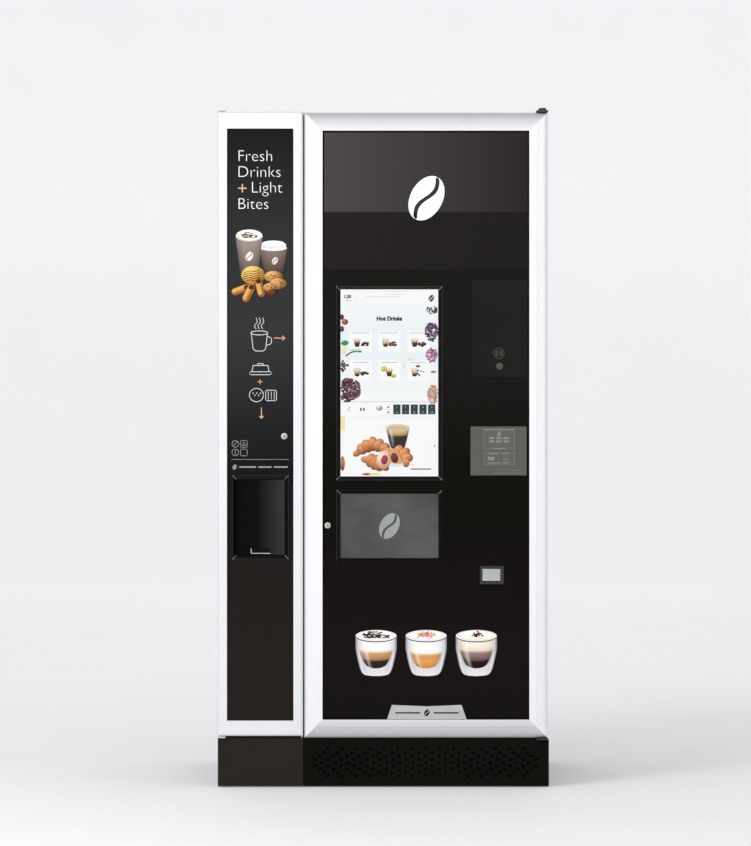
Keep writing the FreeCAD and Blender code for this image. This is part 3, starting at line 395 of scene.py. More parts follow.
class Art:
    """Flat artwork facing -Y, drawn in millimetres; each layer lies a hair in front of the last."""

    def __init__(self, name, host, gap=PRINT_GAP):
        self.name = name
        self.y = round(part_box(host)[0][1] / MM, 3) - gap
        self.verts, self.faces, self.inks = [], [], []
        self.level = 0

    def up(self):
        """Start the next layer."""
        self.level += 1

    def _add(self, points, ink):
        """Add corners on the present layer and give the first one's number."""
        base = len(self.verts)
        y = self.y - self.level * LAYER
        for p in points:
            self.verts.append((p[0] * MM, y * MM, p[1] * MM))
            self.inks.append(ink)
        return base

    def fill(self, outline, ink):
        """Filled outline of one colour."""
        self.up()
        flat = [Vector((x, z, 0.0)) for x, z in outline]
        base = self._add([(p.x, p.y) for p in flat], ink)
        for a, b, c in tessellate_polygon([flat]):
            n = (flat[b] - flat[a]).cross(flat[c] - flat[a]).z
            self.faces.append((base + a, base + b, base + c) if n > 0 else (base + a, base + c, base + b))

    def grid(self, place, ink, nu, nv):
        """Patch of nu x nv cells; place(u, v) gives x and z, ink(u, v) the colour."""
        self.up()
        points, colours = [], []
        for j in range(nv + 1):
            for i in range(nu + 1):
                points.append(place(i / nu, j / nv))
                colours.append(ink(i / nu, j / nv))
        base = self._add(points, (0, 0, 0))
        self.inks[base:] = colours
        for j in range(nv):
            for i in range(nu):
                a = base + j * (nu + 1) + i
                self.faces.append((a, a + 1, a + nu + 2, a + nu + 1))

    def rect(self, x0, x1, z0, z1, ink, radius=0.0):
        self.fill(rounded_rect(x0, x1, z0, z1, radius), ink)

    def disc(self, x, z, rx, rz, ink, n=28):
        self.fill(ellipse(x, z, rx, rz, n), ink)

    def stroke(self, points, width, ink):
        """Line with round joints: its bars lie on one level and its joints on the next."""
        self.up()
        h = width / 2
        for a, b in zip(points, points[1:]):
            dx, dz = b[0] - a[0], b[1] - a[1]
            n = math.hypot(dx, dz) or 1.0
            ox, oz = -dz / n * h, dx / n * h
            base = self._add([(a[0] - ox, a[1] - oz), (b[0] - ox, b[1] - oz),
                              (b[0] + ox, b[1] + oz), (a[0] + ox, a[1] + oz)], ink)
            self.faces.append((base, base + 1, base + 2, base + 3))
        self.up()
        for p in points:
            base = self._add(ellipse(p[0], p[1], h, h, 8), ink)
            self.faces.append(tuple(range(base, base + 8)))

    def lines(self, width, ink, *shapes):
        """A stroke for each shape in turn."""
        for points in shapes:
            self.stroke(points, width, ink)

    def plus(self, x, z, reach, width, ink):
        """Upright cross about x, z."""
        self.lines(width, ink, [(x - reach, z), (x + reach, z)], [(x, z - reach), (x, z + reach)])

    def arrow(self, x0, z0, x1, z1, width, head, ink):
        """Line from the first place to the second with an open head."""
        self.stroke([(x0, z0), (x1, z1)], width, ink)
        a = math.atan2(z1 - z0, x1 - x0)
        for s in (-1, 1):
            b = a + math.pi - s * 0.7
            self.stroke([(x1, z1), (x1 + head * math.cos(b), z1 + head * math.sin(b))], width, ink)

    def text(self, words, x, z, size, ink, thin=0.0, align="LEFT"):
        """Generic wording in Blender's own typeface, turned into filled faces."""
        data = bpy.data.curves.new("words", "FONT")
        data.body = words
        data.size = size
        data.offset = -thin
        data.align_x = align
        data.resolution_u = 5
        obj = bpy.data.objects.new("words", data)
        scene.collection.objects.link(obj)
        mesh = bpy.data.meshes.new_from_object(obj.evaluated_get(bpy.context.evaluated_depsgraph_get()))
        self.up()
        base = self._add([(x + v.co.x, z + v.co.y) for v in mesh.vertices], ink)
        for p in mesh.polygons:
            corners = [base + i for i in p.vertices]
            self.faces.append(tuple(corners if p.normal.z > 0 else reversed(corners)))
        bpy.data.objects.remove(obj)
        bpy.data.meshes.remove(mesh)
        bpy.data.curves.remove(data)

    def build(self, body, material=MAT["ink"]):
        """Make the piece, which rides on body."""
        obj = new_object(self.name, self.verts, self.faces, material)
        layer = obj.data.color_attributes.new("ink", "FLOAT_COLOR", "POINT")
        for i, c in enumerate(self.inks):
            layer.data[i].color = (*c, 1.0)
        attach(obj, body)


def new_object(name, verts, faces, material):
    """Object in the scene with a mesh of the same name."""
    mesh = bpy.data.meshes.new(name)
    mesh.from_pydata(verts, [], faces)
    mesh.materials.append(material)
    obj = bpy.data.objects.new(name, mesh)
    scene.collection.objects.link(obj)
    return obj


def turned(x, z, u, v, turn):
    """The place u, v turned about its origin and then set at x, z."""
    return (x + u * math.cos(turn) - v * math.sin(turn), z + u * math.sin(turn) + v * math.cos(turn))


def ellipse(x, z, rx, rz, n=28):
    """Corners of an oval about x, z."""
    turns = (2 * math.pi * k / n for k in range(n))
    return [(x + rx * math.cos(a), z + rz * math.sin(a)) for a in turns]


def rounded_rect(x0, x1, z0, z1, radius):
    """Corners of a rectangle, each rounded by six points."""
    if radius <= 0:
        return [(x0, z0), (x1, z0), (x1, z1), (x0, z1)]
    points = []
    for cx, cz, start in ((x1 - radius, z0 + radius, -90), (x1 - radius, z1 - radius, 0),
                          (x0 + radius, z1 - radius, 90), (x0 + radius, z0 + radius, 180)):
        for k in range(6):
            a = math.radians(start + 18 * k)
            points.append((cx + radius * math.cos(a), cz + radius * math.sin(a)))
    return points


def closed(points):
    """The points with the first one again at the end."""
    return points + points[:1]


def curve(points, steps, loop=False):
    """Smooth line through the points."""
    n = len(points)
    out = []
    for i in range(n if loop else n - 1):
        p = [points[(i + k) % n if loop else max(0, min(n - 1, i + k))] for k in (-1, 0, 1, 2)]
        for s in range(steps):
            t = s / steps
            out.append(tuple(0.5 * (2 * b + (c - a) * t + (2 * a - 5 * b + 4 * c - d) * t * t
                                    + (3 * b - a - 3 * c + d) * t ** 3) for a, b, c, d in zip(*p)))
    if not loop:
        out.append(points[-1])
    return out


def blend_ink(a, b, t):
    """Colour a at t = 0, b at t = 1."""
    t = max(0.0, min(1.0, t))
    return tuple(a[i] + (b[i] - a[i]) * t for i in range(3))


def steps_ink(stops, t):
    """Colour at t along a list of (position, colour)."""
    for (pa, ca), (pb, cb) in zip(stops, stops[1:]):
        if t <= pb:
            return blend_ink(ca, cb, (t - pa) / (pb - pa) if pb > pa else 1.0)
    return stops[-1][1]


WHITE = srgb(244, 244, 242)


def bean_sign(art, x, z, size, ink):
    """Generic coffee bean: a tilted oval with a wavy gap down its middle."""
    turn = math.radians(-28)
    rx, rz = size * 0.34, size * 0.5
    gap = size * 0.045
    for side in (-1, 1):
        outer = []
        for k in range(33):
            a = -math.pi / 2 + side * math.pi * k / 32
            outer.append((rx * math.cos(a), rz * math.sin(a)))
        inner = []
        for k in range(25):
            v = rz * (0.93 - 1.86 * k / 24)
            inner.append((side * gap + rx * 0.26 * math.sin(v / rz * math.pi), v))
        loop = [turned(x, z, u, v, turn) for u, v in outer + inner]
        art.fill(loop if side > 0 else loop[::-1], ink)


# ---- pictures built from shaded patches -----------------------------------------------
def speckle(x, z, scale, seed=0.0):
    """Smooth noise from 0 to 1 at a place in the picture."""
    return 0.5 + 0.5 * noise.noise(Vector((x * scale, z * scale, seed)))


def ball(art, x, z, rx, rz, dark, light, turn=0.0, grain=0.0, n=20, rings=6):
    """Shaded round: lit from the upper left, darker towards its rim."""
    def place(u, v):
        a = 2 * math.pi * u
        return turned(x, z, rx * v * math.cos(a), rz * v * math.sin(a), turn)

    def ink(u, v):
        px, pz = place(u, v)
        lx, lz = (px - x) / max(rx, rz) + 0.35, (pz - z) / max(rx, rz) - 0.4
        t = 1.0 - math.hypot(lx, lz) * 0.8
        t += grain * (speckle(px, pz, 0.9, x) - 0.5)
        return blend_ink(dark, light, t)
    art.grid(place, ink, n, rings)


def body_patch(art, half, z0, z1, x, ink, nu=28, nv=36, dip=0.0):
    """Patch between z0 and z1 about x; half(t) is its half width, dip rounds its lower and upper edges."""
    def place(u, v):
        s = 2 * u - 1
        return (x + s * half(v), z0 + (z1 - z0) * v - dip * math.sqrt(max(0.0, 1 - s * s)))
    art.grid(place, ink, nu, nv)


def tube_shade(s, edge, shine, shine_gain):
    """Brightness across a round body: s is -1 at the left and 1 at the right."""
    return 1.0 - edge * abs(s) ** 3 + shine_gain * math.exp(-((s - shine) / 0.12) ** 2)


def scaled(ink, k):
    """Brighter or darker ink."""
    return tuple(max(0.0, min(1.0, c * k)) for c in ink)


def glass_cup(art, x, z0, width, height, layers, topping, foam):
    """Double-walled glass of layered coffee; layers are (height share, colour) from the bottom."""
    rim_z = z0 + height * 0.84
    rim_rx, rim_rz = width / 2, height * 0.125
    base = 0.31 * width

    def outer(v):
        return base + (rim_rx - base) * min(1.0, v * 1.5) ** 0.55 if v < 1 else rim_rx

    def glass(u, v):
        s = 2 * u - 1
        wall = abs(s) ** 5
        milky = blend_ink(srgb(150, 148, 152), srgb(225, 222, 226), 1 - v * 0.9)
        edge = blend_ink(milky, srgb(120, 120, 126), wall * 0.7)
        glint = math.exp(-((abs(s) - 0.86) / 0.045) ** 2)
        return blend_ink(edge, srgb(238, 238, 242), glint * 0.75)
    art.level = 0
    body_patch(art, outer, z0 + height * 0.05, rim_z, x, glass, 40, 40, dip=height * 0.05)

    in_low = z0 + height * 0.22

    def inner(v):
        return (rim_rx * 0.90) * (0.42 + 0.58 * min(1.0, v / 0.62) ** 0.5)

    def liquid(u, v):
        s = 2 * u - 1
        c = steps_ink(layers, v)
        c = scaled(c, tube_shade(s, 0.35, -0.58, 0.0))
        c = blend_ink(c, srgb(250, 244, 236), 0.55 * math.exp(-((s + 0.55) / 0.13) ** 2) * (0.35 + 0.65 * v))
        side = max(0.0, abs(s) - 0.84) / 0.16
        return blend_ink(c, srgb(205, 202, 206), side * 0.75)
    body_patch(art, inner, in_low, rim_z, x, liquid, 48, 44, dip=height * 0.06)

    art.disc(x, rim_z, rim_rx, rim_rz, srgb(196, 196, 200), n=44)
    art.disc(x, rim_z - height * 0.012, rim_rx * 0.985, rim_rz * 0.97, srgb(52, 48, 50), n=44)
    art.disc(x, rim_z + height * 0.006, rim_rx * 0.985, rim_rz * 0.95, srgb(236, 236, 238), n=44)

    def froth(u, v):
        a = 2 * math.pi * u
        edge = max(0.0, v - 0.8) / 0.2
        lit = 0.96 + 0.05 * math.sin(a) - 0.05 * edge
        return scaled(blend_ink(foam, srgb(214, 210, 208), edge * 0.6), lit)

    def froth_place(u, v):
        a = 2 * math.pi * u
        return (x + rim_rx * 0.93 * v * math.cos(a),
                rim_z + height * 0.008 + rim_rz * 0.86 * v * math.sin(a))
    art.grid(froth_place, froth, 44, 8)
    topping(art, x, rim_z + height * 0.012, rim_rx, rim_rz)


def flakes(art, x, z, rx, rz):
    """Curls of dark chocolate scattered over the froth."""
    rng = random.Random(11)
    floor = art.level
    for k in range(46):
        art.level = floor + 2 * (k % 6)
        a, r = rng.uniform(0, 2 * math.pi), math.sqrt(rng.random()) * 0.62
        px, pz = x + rx * r * math.cos(a), z + rz * r * math.sin(a)
        t, length = rng.uniform(-0.7, 0.9), rx * rng.uniform(0.05, 0.13)
        tone = rng.choice((srgb(44, 20, 14), srgb(72, 34, 22), srgb(104, 58, 40), srgb(30, 12, 10)))
        art.stroke([(px - length * math.cos(t), pz - length * math.sin(t) * 0.6),
                    (px + length * math.cos(t), pz + length * math.sin(t) * 0.6)], rx * 0.05, tone)


def dust(art, x, z, rx, rz):
    """Cocoa powder: many small soft spots, denser in two clouds."""
    rng = random.Random(5)
    floor = art.level
    for k in range(150):
        art.level = floor + k % 8
        cx = x + rx * (0.16 if k % 2 else -0.12) + rng.gauss(0, rx * 0.16)
        cz = z + rz * 0.12 + rng.gauss(0, rz * 0.26)
        if ((cx - x) / rx) ** 2 + ((cz - z) / rz) ** 2 > 0.62:
            continue
        tone = rng.choice((srgb(206, 118, 84), srgb(188, 92, 58), srgb(226, 156, 126), srgb(170, 74, 44)))
        art.disc(cx, cz, rx * rng.uniform(0.02, 0.045), rz * rng.uniform(0.04, 0.1), tone, n=7)


def dark_spot(art, x, z, rx, rz):
    """One dark heart of chocolate on the crema."""
    rng = random.Random(8)
    floor = art.level
    for k in range(34):
        art.level = floor + k % 8
        cx, cz = x + rx * 0.05 + rng.gauss(0, rx * 0.13), z + rz * 0.1 + rng.gauss(0, rz * 0.15)
        tone = rng.choice((srgb(64, 14, 10), srgb(98, 30, 20), srgb(34, 10, 8), srgb(120, 52, 36)))
        art.disc(cx, cz, rx * 0.05, rz * 0.13, tone, n=9)


def door_prints():
    """Header sign, cup pictures and badge marks on the main door."""
    top = Art("header_print", "header_panel")
    bean_sign(top, 116.5, 1593.0, 128.0, WHITE)
    top.build("main_door")

    art = Art("cup_pictures_print", "main_door_panel")
    mocha = graded((0.0, 26, 22, 20), (0.24, 44, 36, 30), (0.30, 168, 122, 76), (0.5, 200, 154, 104),
             (0.56, 232, 214, 196), (0.62, 244, 240, 240), (1.0, 240, 238, 242))
    latte = graded((0.0, 198, 130, 62), (0.22, 216, 152, 88), (0.42, 206, 146, 84), (0.48, 232, 206, 176),
             (0.54, 244, 242, 240), (1.0, 236, 236, 238))
    dark = graded((0.0, 18, 8, 8), (0.22, 38, 18, 16), (0.28, 98, 76, 76), (0.52, 146, 122, 116),
            (0.60, 226, 208, 192), (0.8, 240, 232, 214), (1.0, 222, 214, 170))
    for x, layers, topping, foam in ((-19.6, mocha, flakes, WHITE),
                                     (115.7, latte, dust, srgb(248, 240, 234)),
                                     (251.3, dark, dark_spot, srgb(246, 242, 230))):
        glass_cup(art, x, 301.7, 111.0, 128.8, layers, topping, foam)
    art.build("main_door")

    badge = Art("badge_print", "frame_badge")
    ink = srgb(28, 28, 28)
    bean_sign(badge, 117.5, 202.5, 20.0, ink)
    for s in (-1, 1):
        badge.rect(117.5 + s * 52 - 34, 117.5 + s * 52 + 34, 200.6, 204.4, ink, 1.8)
    badge.build("main_door")


door_prints()


# ---- touchscreen picture --------------------------------------------------------------
def shades(*rows):
    """Dark and light colours for a heap, each row given as two 8-bit colours."""
    return tuple((srgb(*row[:3]), srgb(*row[3:])) for row in rows)


def pile(art, x, z, width, height, tones, count, size, seed):
    """Heap of small shaded rounds, such as beans or berries."""
    rng = random.Random(seed)
    floor = art.level
    for k in range(count):
        art.level = floor + k % 9
        a, q = rng.uniform(0, 2 * math.pi), math.sqrt(rng.random())
        px, pz = x + 0.5 * width * q * math.cos(a), z + 0.5 * height * q * math.sin(a)
        dark, light = rng.choice(tones)
        r = size * rng.uniform(0.7, 1.25)
        ball(art, px, pz, r, r * rng.uniform(0.7, 1.0), dark, light, rng.uniform(0, 3.1), n=9, rings=2)
    art.level = floor + 10


def small_glass(art, x, z, w, level, drink):
    """Little tumbler of coffee for a menu tile: pale glass, crema and a dark drink."""
    h, dip = w * 0.95, w * 0.08
    foot = z - h / 2

    def half(v):
        return w * (0.30 + 0.20 * v)

    def glass(u, v):
        return blend_ink(srgb(236, 234, 226), srgb(206, 200, 186), abs(2 * u - 1) ** 2)

    def coffee(u, v):
        return scaled(steps_ink(drink, v), tube_shade(2 * u - 1, 0.3, -0.5, 0.5))
    body_patch(art, half, foot, z + h / 2, x, glass, 10, 8, dip)
    body_patch(art, lambda v: half(v * level) * 0.93, foot, foot + h * level, x, coffee, 12, 12, dip)
    art.disc(x, z + h / 2, w * 0.5, w * 0.09, srgb(222, 208, 178), n=18)
    art.disc(x, z + h / 2, w * 0.44, w * 0.065, srgb(236, 224, 196), n=18)


def leaf(art, x, z, length, width, turn, dark, light):
    """Pointed leaf lying along turn."""
    def place(u, v):
        half_width = width / 2 * math.sin(math.pi * u) ** 0.8
        return turned(x, z, length / 2 * (2 * u - 1), half_width * (2 * v - 1), turn)

    def veins(u, v):
        return blend_ink(dark, light, 0.5 + 0.5 * math.cos(9 * v) * 0.4 + 0.3 * (v - 0.5))
    art.grid(place, veins, 14, 6)


def crust(art, points, width, dark, light):
    """Row of baked segments along a bent line, wide in the middle."""
    n = len(points)
    for k, (x, z) in enumerate(points):
        t = k / (n - 1)
        w = width * (0.45 + 0.55 * math.sin(math.pi * t) ** 0.7)
        a, b = points[max(0, k - 1)], points[min(n - 1, k + 1)]
        turn = math.atan2(b[1] - a[1], b[0] - a[0])
        ball(art, x, z, width * 0.34, w * 0.5, scaled(dark, 0.7), light, turn, grain=0.9, n=22, rings=7)
        for side in (-0.18, 0.2):
            px, pz = x + side * width * 0.3, z + w * 0.18
            streak = [(px - 0.2 * w * math.sin(turn), pz + 0.2 * w * math.cos(turn)), (px, pz)]
            art.stroke(streak, width * 0.03, blend_ink(light, WHITE, 0.25))


PICTURE_LEVEL = 4   # pictures that stand apart start on the same layer, above the sky


def screen_picture():
    """Lit menu: title strip, six tiles between fruit and flowers, tool strip and an offer picture."""
    x0, x1, z0, z1 = -115.7, 148.3, 841.3, 1346.7
    art = Art("screen_picture", "touchscreen", 0.06)
    pale, white = srgb(240, 247, 251), srgb(253, 254, 254)
    grey, dark = srgb(186, 190, 194), srgb(38, 40, 44)

    def sky(u, v):
        z = z0 + (z1 - z0) * v
        t = math.exp(-((z - 1190) / 95.0) ** 2)
        return blend_ink(white, pale, min(1.0, t * 1.3))
    art.grid(lambda u, v: (x0 + (x1 - x0) * u, z0 + (z1 - z0) * v), sky, 1, 40)

    # Top strip: price, message box and a bean sign.
    art.text("1,50", -107.0, 1323.6, 11.5, dark, thin=-0.6)
    art.rect(-103, -86, 1314.8, 1316.6, grey)
    art.rect(-73, 110, 1306, 1341, srgb(240, 241, 242), 6.0)
    art.rect(-72.2, 109.2, 1306.8, 1340.2, white, 5.4)
    for k, (a, b) in enumerate(((2, 66), (6, 60), (-50, 44))):
        art.rect(a, b, 1340.5 - 7 * k, 1342.3 - 7 * k, srgb(226, 228, 230))
    bean_sign(art, 130.0, 1323.0, 20.0, srgb(46, 46, 48))
    art.text("Hot Drinks", 16.3, 1263.0, 15.0, srgb(14, 14, 16), thin=-0.85, align="CENTER")

    # Menu tiles.
    espresso = graded((0.0, 22, 12, 8), (0.62, 36, 20, 12), (0.72, 176, 128, 62), (1.0, 214, 184, 122))
    milky = graded((0.0, 26, 16, 12), (0.4, 60, 36, 22), (0.55, 198, 156, 98), (1.0, 232, 208, 160))
    beans = shades((34, 14, 10, 112, 58, 40), (48, 20, 12, 134, 76, 52), (26, 10, 8, 88, 44, 30))
    for row, z in enumerate((1206.0, 1126.0)):
        for column, x in enumerate((-61.0, 16.0, 94.6)):
            art.level = PICTURE_LEVEL
            art.rect(x - 31.5, x + 31.5, z - 29, z + 29, srgb(232, 240, 245), 3.0)
            art.rect(x - 31, x + 31, z - 28.4, z + 29, white, 3.0)
            art.rect(x - 24 + 3 * row, x + 24 - 3 * row, z + 22.4, z + 24.2, grey)
            recipe = (espresso, milky)[(row + column) % 2]
            gx = x - 10 if (row, column) != (1, 1) else x
            small_glass(art, gx, z - 3.5, 20.0, 0.86, recipe)
            if (row, column) == (1, 1):
                ball(art, x - 15, z + 6, 8.0, 8.0, srgb(196, 176, 28), srgb(244, 234, 96), n=18)
                ball(art, x + 12, z - 13, 7.0, 5.5, srgb(186, 168, 30), srgb(240, 230, 100), n=18)
                art.disc(x + 8, z - 14, 2.0, 2.0, srgb(60, 34, 20), n=10)
            elif (row, column) == (1, 2):
                ball(art, x - 1, z + 13, 6.5, 3.2, srgb(70, 40, 24), srgb(150, 104, 74), n=14)
                art.stroke([(x - 4, z + 2), (x + 16, z - 2)], 2.2, srgb(122, 88, 62))
                art.stroke([(x - 2, z - 6), (x + 3, z - 12)], 4.0, srgb(48, 28, 18))
            else:
                pile(art, x + 10, z - 7.0, 21.0, 10.0, beans, 26, 2.9, 7 * row + column)

    # Fruit, leaves and flowers down both sides.
    art.level = PICTURE_LEVEL
    ball(art, -112, 1272, 5.5, 7.5, srgb(40, 8, 12), srgb(120, 40, 44), n=16)
    ball(art, -104, 1259, 8.8, 8.0, srgb(112, 20, 24), srgb(232, 112, 104), n=20)
    ball(art, -112, 1240, 5.8, 8.0, srgb(44, 14, 14), srgb(150, 70, 60), n=16)
    leaf(art, -104, 1202, 22, 15, 0.12, srgb(18, 92, 34), srgb(86, 186, 84))
    ball(art, -107, 1182, 8.0, 12.0, srgb(238, 226, 176), srgb(252, 246, 214), n=18)
    art.stroke(curve([(-101, 1167), (-88, 1176), (-74, 1179), (-60, 1178)], 8), 3.6, srgb(10, 62, 38))
    leaf(art, -74, 1183, 40, 7, 0.02, srgb(160, 214, 184), srgb(214, 240, 222))
    berries = shades((14, 8, 12, 96, 76, 88), (26, 16, 22, 130, 110, 116))
    grapes = shades((34, 8, 18, 124, 66, 84), (52, 14, 26, 176, 118, 134), (20, 4, 12, 92, 42, 60))
    for heap in ((-109, 1137, 12, 34, berries, 22, 3.0, 31), (-97, 1142, 6, 8, berries, 4, 2.4, 32),
                 (-98, 1096, 26, 24, grapes, 60, 3.0, 33), (-88, 1076, 54, 56, grapes, 260, 3.0, 34),
                 (-100, 1055, 28, 26, grapes, 80, 3.0, 35)):
        pile(art, *heap)
    art.level = PICTURE_LEVEL
    violet = shades((40, 20, 44, 140, 96, 140), (62, 30, 62, 188, 150, 190), (26, 14, 34, 96, 66, 104))
    pile(art, 131, 1291, 32, 22, shades((12, 10, 16, 62, 54, 70)), 80, 1.9, 41)
    pile(art, 131, 1232, 36, 50, violet, 170, 2.6, 42)
    pile(art, 122, 1240, 18, 8, violet, 16, 2.0, 43)
    art.level = PICTURE_LEVEL
    pink = shades((122, 38, 84, 216, 150, 190), (150, 60, 110, 240, 200, 222), (96, 26, 66, 190, 110, 156))
    pile(art, 131, 1168, 32, 38, pink, 130, 2.6, 44)
    leaf(art, 135.5, 1124, 17, 6.5, 0.1, srgb(120, 54, 56), srgb(206, 150, 144))
    art.level = PICTURE_LEVEL
    rose = shades((160, 104, 84, 236, 200, 184), (188, 136, 112, 248, 226, 214), (140, 84, 70, 222, 176, 156))
    pile(art, 134, 1062, 28, 54, rose, 190, 2.7, 45)
    pile(art, 73, 1157, 22, 6, shades((214, 216, 150, 244, 244, 206)), 9, 2.0, 46)
    pile(art, 56, 1145, 6, 16, shades((222, 222, 160, 246, 246, 210)), 6, 2.0, 47)

    # Tool strip: separator, small symbols and five dark keys.
    art.level = PICTURE_LEVEL
    art.rect(-112, 122, 1042.0, 1043.4, srgb(172, 178, 184))
    art.rect(x0 + 1, x1 - 1, 1006.0, 1040.5, white)
    art.stroke([(-92, 1028), (-96, 1021), (-89, 1018)], 1.8, grey)
    art.disc(-91.5, 1029, 2.0, 2.0, grey, n=12)
    for k, tone in enumerate((srgb(70, 110, 74), srgb(236, 236, 236), srgb(176, 62, 58))):
        art.rect(-63 + 4.2 * k, -58.8 + 4.2 * k, 1018, 1026.5, tone)
    ball(art, -11, 1026, 9.0, 7.0, srgb(112, 116, 122), srgb(250, 250, 250), n=20)
    for z in (1028.5, 1014.5):
        art.disc(13.4, z, 2.6, 2.6, srgb(70, 72, 76), n=14)
        art.rect(4, 22, z - 6.8, z - 6.0, srgb(206, 208, 210))
    for k in range(5):
        x = 26.8 + 23.5 * k
        art.rect(x, x + 19.8, 1009.0, 1035.6, srgb(22, 50, 54), 1.4)
        art.rect(x + 1.5, x + 18.3, 1010.5, 1021.6, srgb(30, 62, 66), 1.0)
        for j, z in enumerate((1028.5, 1015.0)):
            art.text(str(k + 1 + 5 * j), x + 9.9, z - 3.0, 7.5, srgb(190, 206, 206), align="CENTER")

    # Offer picture: croissants in front of a glass of espresso.
    art.level = PICTURE_LEVEL
    art.rect(-110, 141, 849.0, 1002.0, srgb(226, 229, 232), 2.0)
    art.rect(-109.2, 140.2, 849.8, 1001.2, white, 1.6)
    art.rect(x0, x0 + 12, 966, 1004, srgb(248, 236, 170), 1.0)
    ball(art, -110.5, 876, 6.5, 20, srgb(110, 54, 30), srgb(206, 150, 116), n=18)
    art.disc(16, 873, 68, 6.0, srgb(232, 232, 234), n=36)
    gx, rim = 39.0, 973.0
    dark_drink = graded((0.0, 10, 8, 8), (0.60, 22, 16, 14), (0.66, 60, 40, 26), (0.72, 186, 142, 88),
                  (0.86, 216, 182, 128), (1.0, 226, 200, 150))

    def flare(v):
        return 17 + 15 * v ** 0.7

    def glass(u, v):
        return blend_ink(srgb(228, 226, 222), srgb(120, 112, 104), abs(2 * u - 1) ** 6)

    def coffee(u, v):
        s = 2 * u - 1
        body = scaled(steps_ink(dark_drink, v), tube_shade(s, 0.3, 0.5, 0.0))
        return blend_ink(body, srgb(232, 226, 218), 0.7 * math.exp(-((s + 0.62) / 0.14) ** 2) * v)
    body_patch(art, flare, 915, rim, gx, glass, 30, 24, dip=5)
    body_patch(art, lambda v: flare(v) * 0.94, 917, rim, gx, coffee, 36, 30, dip=5)
    art.disc(gx, rim, 32.5, 9.2, srgb(206, 200, 188), n=40)
    art.disc(gx, rim - 0.6, 30.5, 7.6, srgb(232, 220, 186), n=40)
    art.disc(gx, rim - 1.4, 27.0, 6.0, srgb(218, 188, 136), n=40)
    back = [(-70, 905), (-58, 915), (-44, 923), (-28, 929), (-12, 925), (4, 917), (13, 909)]
    front = [(-46, 886), (-33, 884), (-20, 879), (-8, 873), (2, 867)]
    right = [(28, 908), (42, 909), (56, 902), (63, 890), (62, 879)]
    crumb = [(14, 905), (26, 912), (40, 902), (50, 884), (48, 875), (30, 876), (16, 882)]
    crust(art, back, 40.0, srgb(150, 70, 26), srgb(246, 168, 104))
    crust(art, front, 44.0, srgb(158, 76, 28), srgb(240, 164, 98))
    ball(art, 2, 887, 20, 25, srgb(206, 160, 108), srgb(255, 246, 224), -0.25, n=26)
    ball(art, 3, 886, 9, 13, srgb(120, 14, 42), srgb(206, 64, 92), -0.2, grain=0.8, n=18)
    crust(art, right, 40.0, srgb(168, 80, 30), srgb(248, 172, 104))
    art.fill(curve(crumb, 4, loop=True), srgb(214, 168, 112))
    ball(art, 30, 891, 10, 14, srgb(66, 10, 18), srgb(150, 44, 50), 0.25, grain=0.9, n=18)
    art.rect(74, 129, 859.5, 862.4, dark)
    art.disc(138.5, 924, 2.0, 2.4, srgb(96, 100, 104), n=12)
    art.disc(-42, 847, 16, 3.4, srgb(216, 60, 40), n=18)
    art.disc(-24, 847, 16, 3.0, srgb(244, 218, 130), n=18)
    art.rect(x0, x1, z0, 843.6, white)
    art.build("main_door", MAT["screen_ink"])


screen_picture()


# ---- other prints ---------------------------------------------------------------------
def window_print():
    """Bean sign on the smoked cup window."""
    art = Art("window_print", "cup_door_window", 0.06)
    bean_sign(art, 16.5, 707.0, 74.0, srgb(148, 152, 150))
    art.build("cup_door")


def reader_plate_print():
    """Fields on the smoked plate beside the screen: thin frames, bars and a bean sign."""
    art = Art("reader_plate_print", "card_reader")
    edge, face, bar = srgb(122, 122, 116), srgb(92, 92, 87), srgb(132, 132, 126)
    x0, x1 = 271.3, 354.7
    for z0, z1 in ((914.6, 969.9), (872.3, 906.7)):
        art.rect(x0, x1, z0, z1, edge, 2.4)
        art.rect(x0 + 0.9, x1 - 0.9, z0 + 0.9, z1 - 0.9, face, 1.8)
    art.rect(x0 + 2, x1 - 2, 966.0, 968.2, bar)
    bean_sign(art, 312.4, 955.8, 15.0, bar)
    for z in (944.5, 935.5):
        for a, b in ((285.4, 299.5), (305.0, 319.8), (324.4, 340.0)):
            art.rect(a, b, z - 2.6, z + 2.6, bar, 1.0)
    art.rect(297.2, 328.8, 915.6, 918.2, bar, 1.0)
    for a, b, z in ((283.1, 313.0, 902.8), (322.6, 339.0, 902.8),
                    (283.1, 316.4, 877.4), (322.6, 339.0, 877.9)):
        art.rect(a, b, z - 1.2, z + 1.2, bar)
    art.rect(283.1, 299.5, 885.3, 894.3, bar, 1.2)
    art.rect(322.0, 339.0, 887.0, 889.0, bar)
    for a, b, z in ((343.5, 370.5, 858.2), (297.2, 388.0, 850.4)):
        art.rect(a, min(b, 384.0), z - 0.6, z + 0.6, edge)
    art.build("main_door")


def mug(art, x, rim, rx, rz, foot, narrow, paper, lid):
    """Picture of a take-away cup: tapered body with an open or covered top."""
    def half(v):
        return rx * (narrow + (1 - narrow) * v)

    def wall(u, v):
        return scaled(steps_ink(paper, v), tube_shade(2 * u - 1, 0.45, -0.35, 0.12))
    body_patch(art, half, foot, rim, x, wall, 30, 24, dip=rz * 0.8)
    art.disc(x, rim, rx, rz, scaled(paper[-1][1], 0.8), n=40)
    art.disc(x, rim + rz * 0.06, rx * 0.95, rz * 0.9, lid, n=40)


def steam(art, x, z, height, width, ink):
    """Curl of steam rising from x, z."""
    bends = [(x, z), (x - width, z + height * 0.28), (x + width * 0.7, z + height * 0.62), (x, z + height)]
    art.stroke(curve(bends, 6), 1.6, ink)


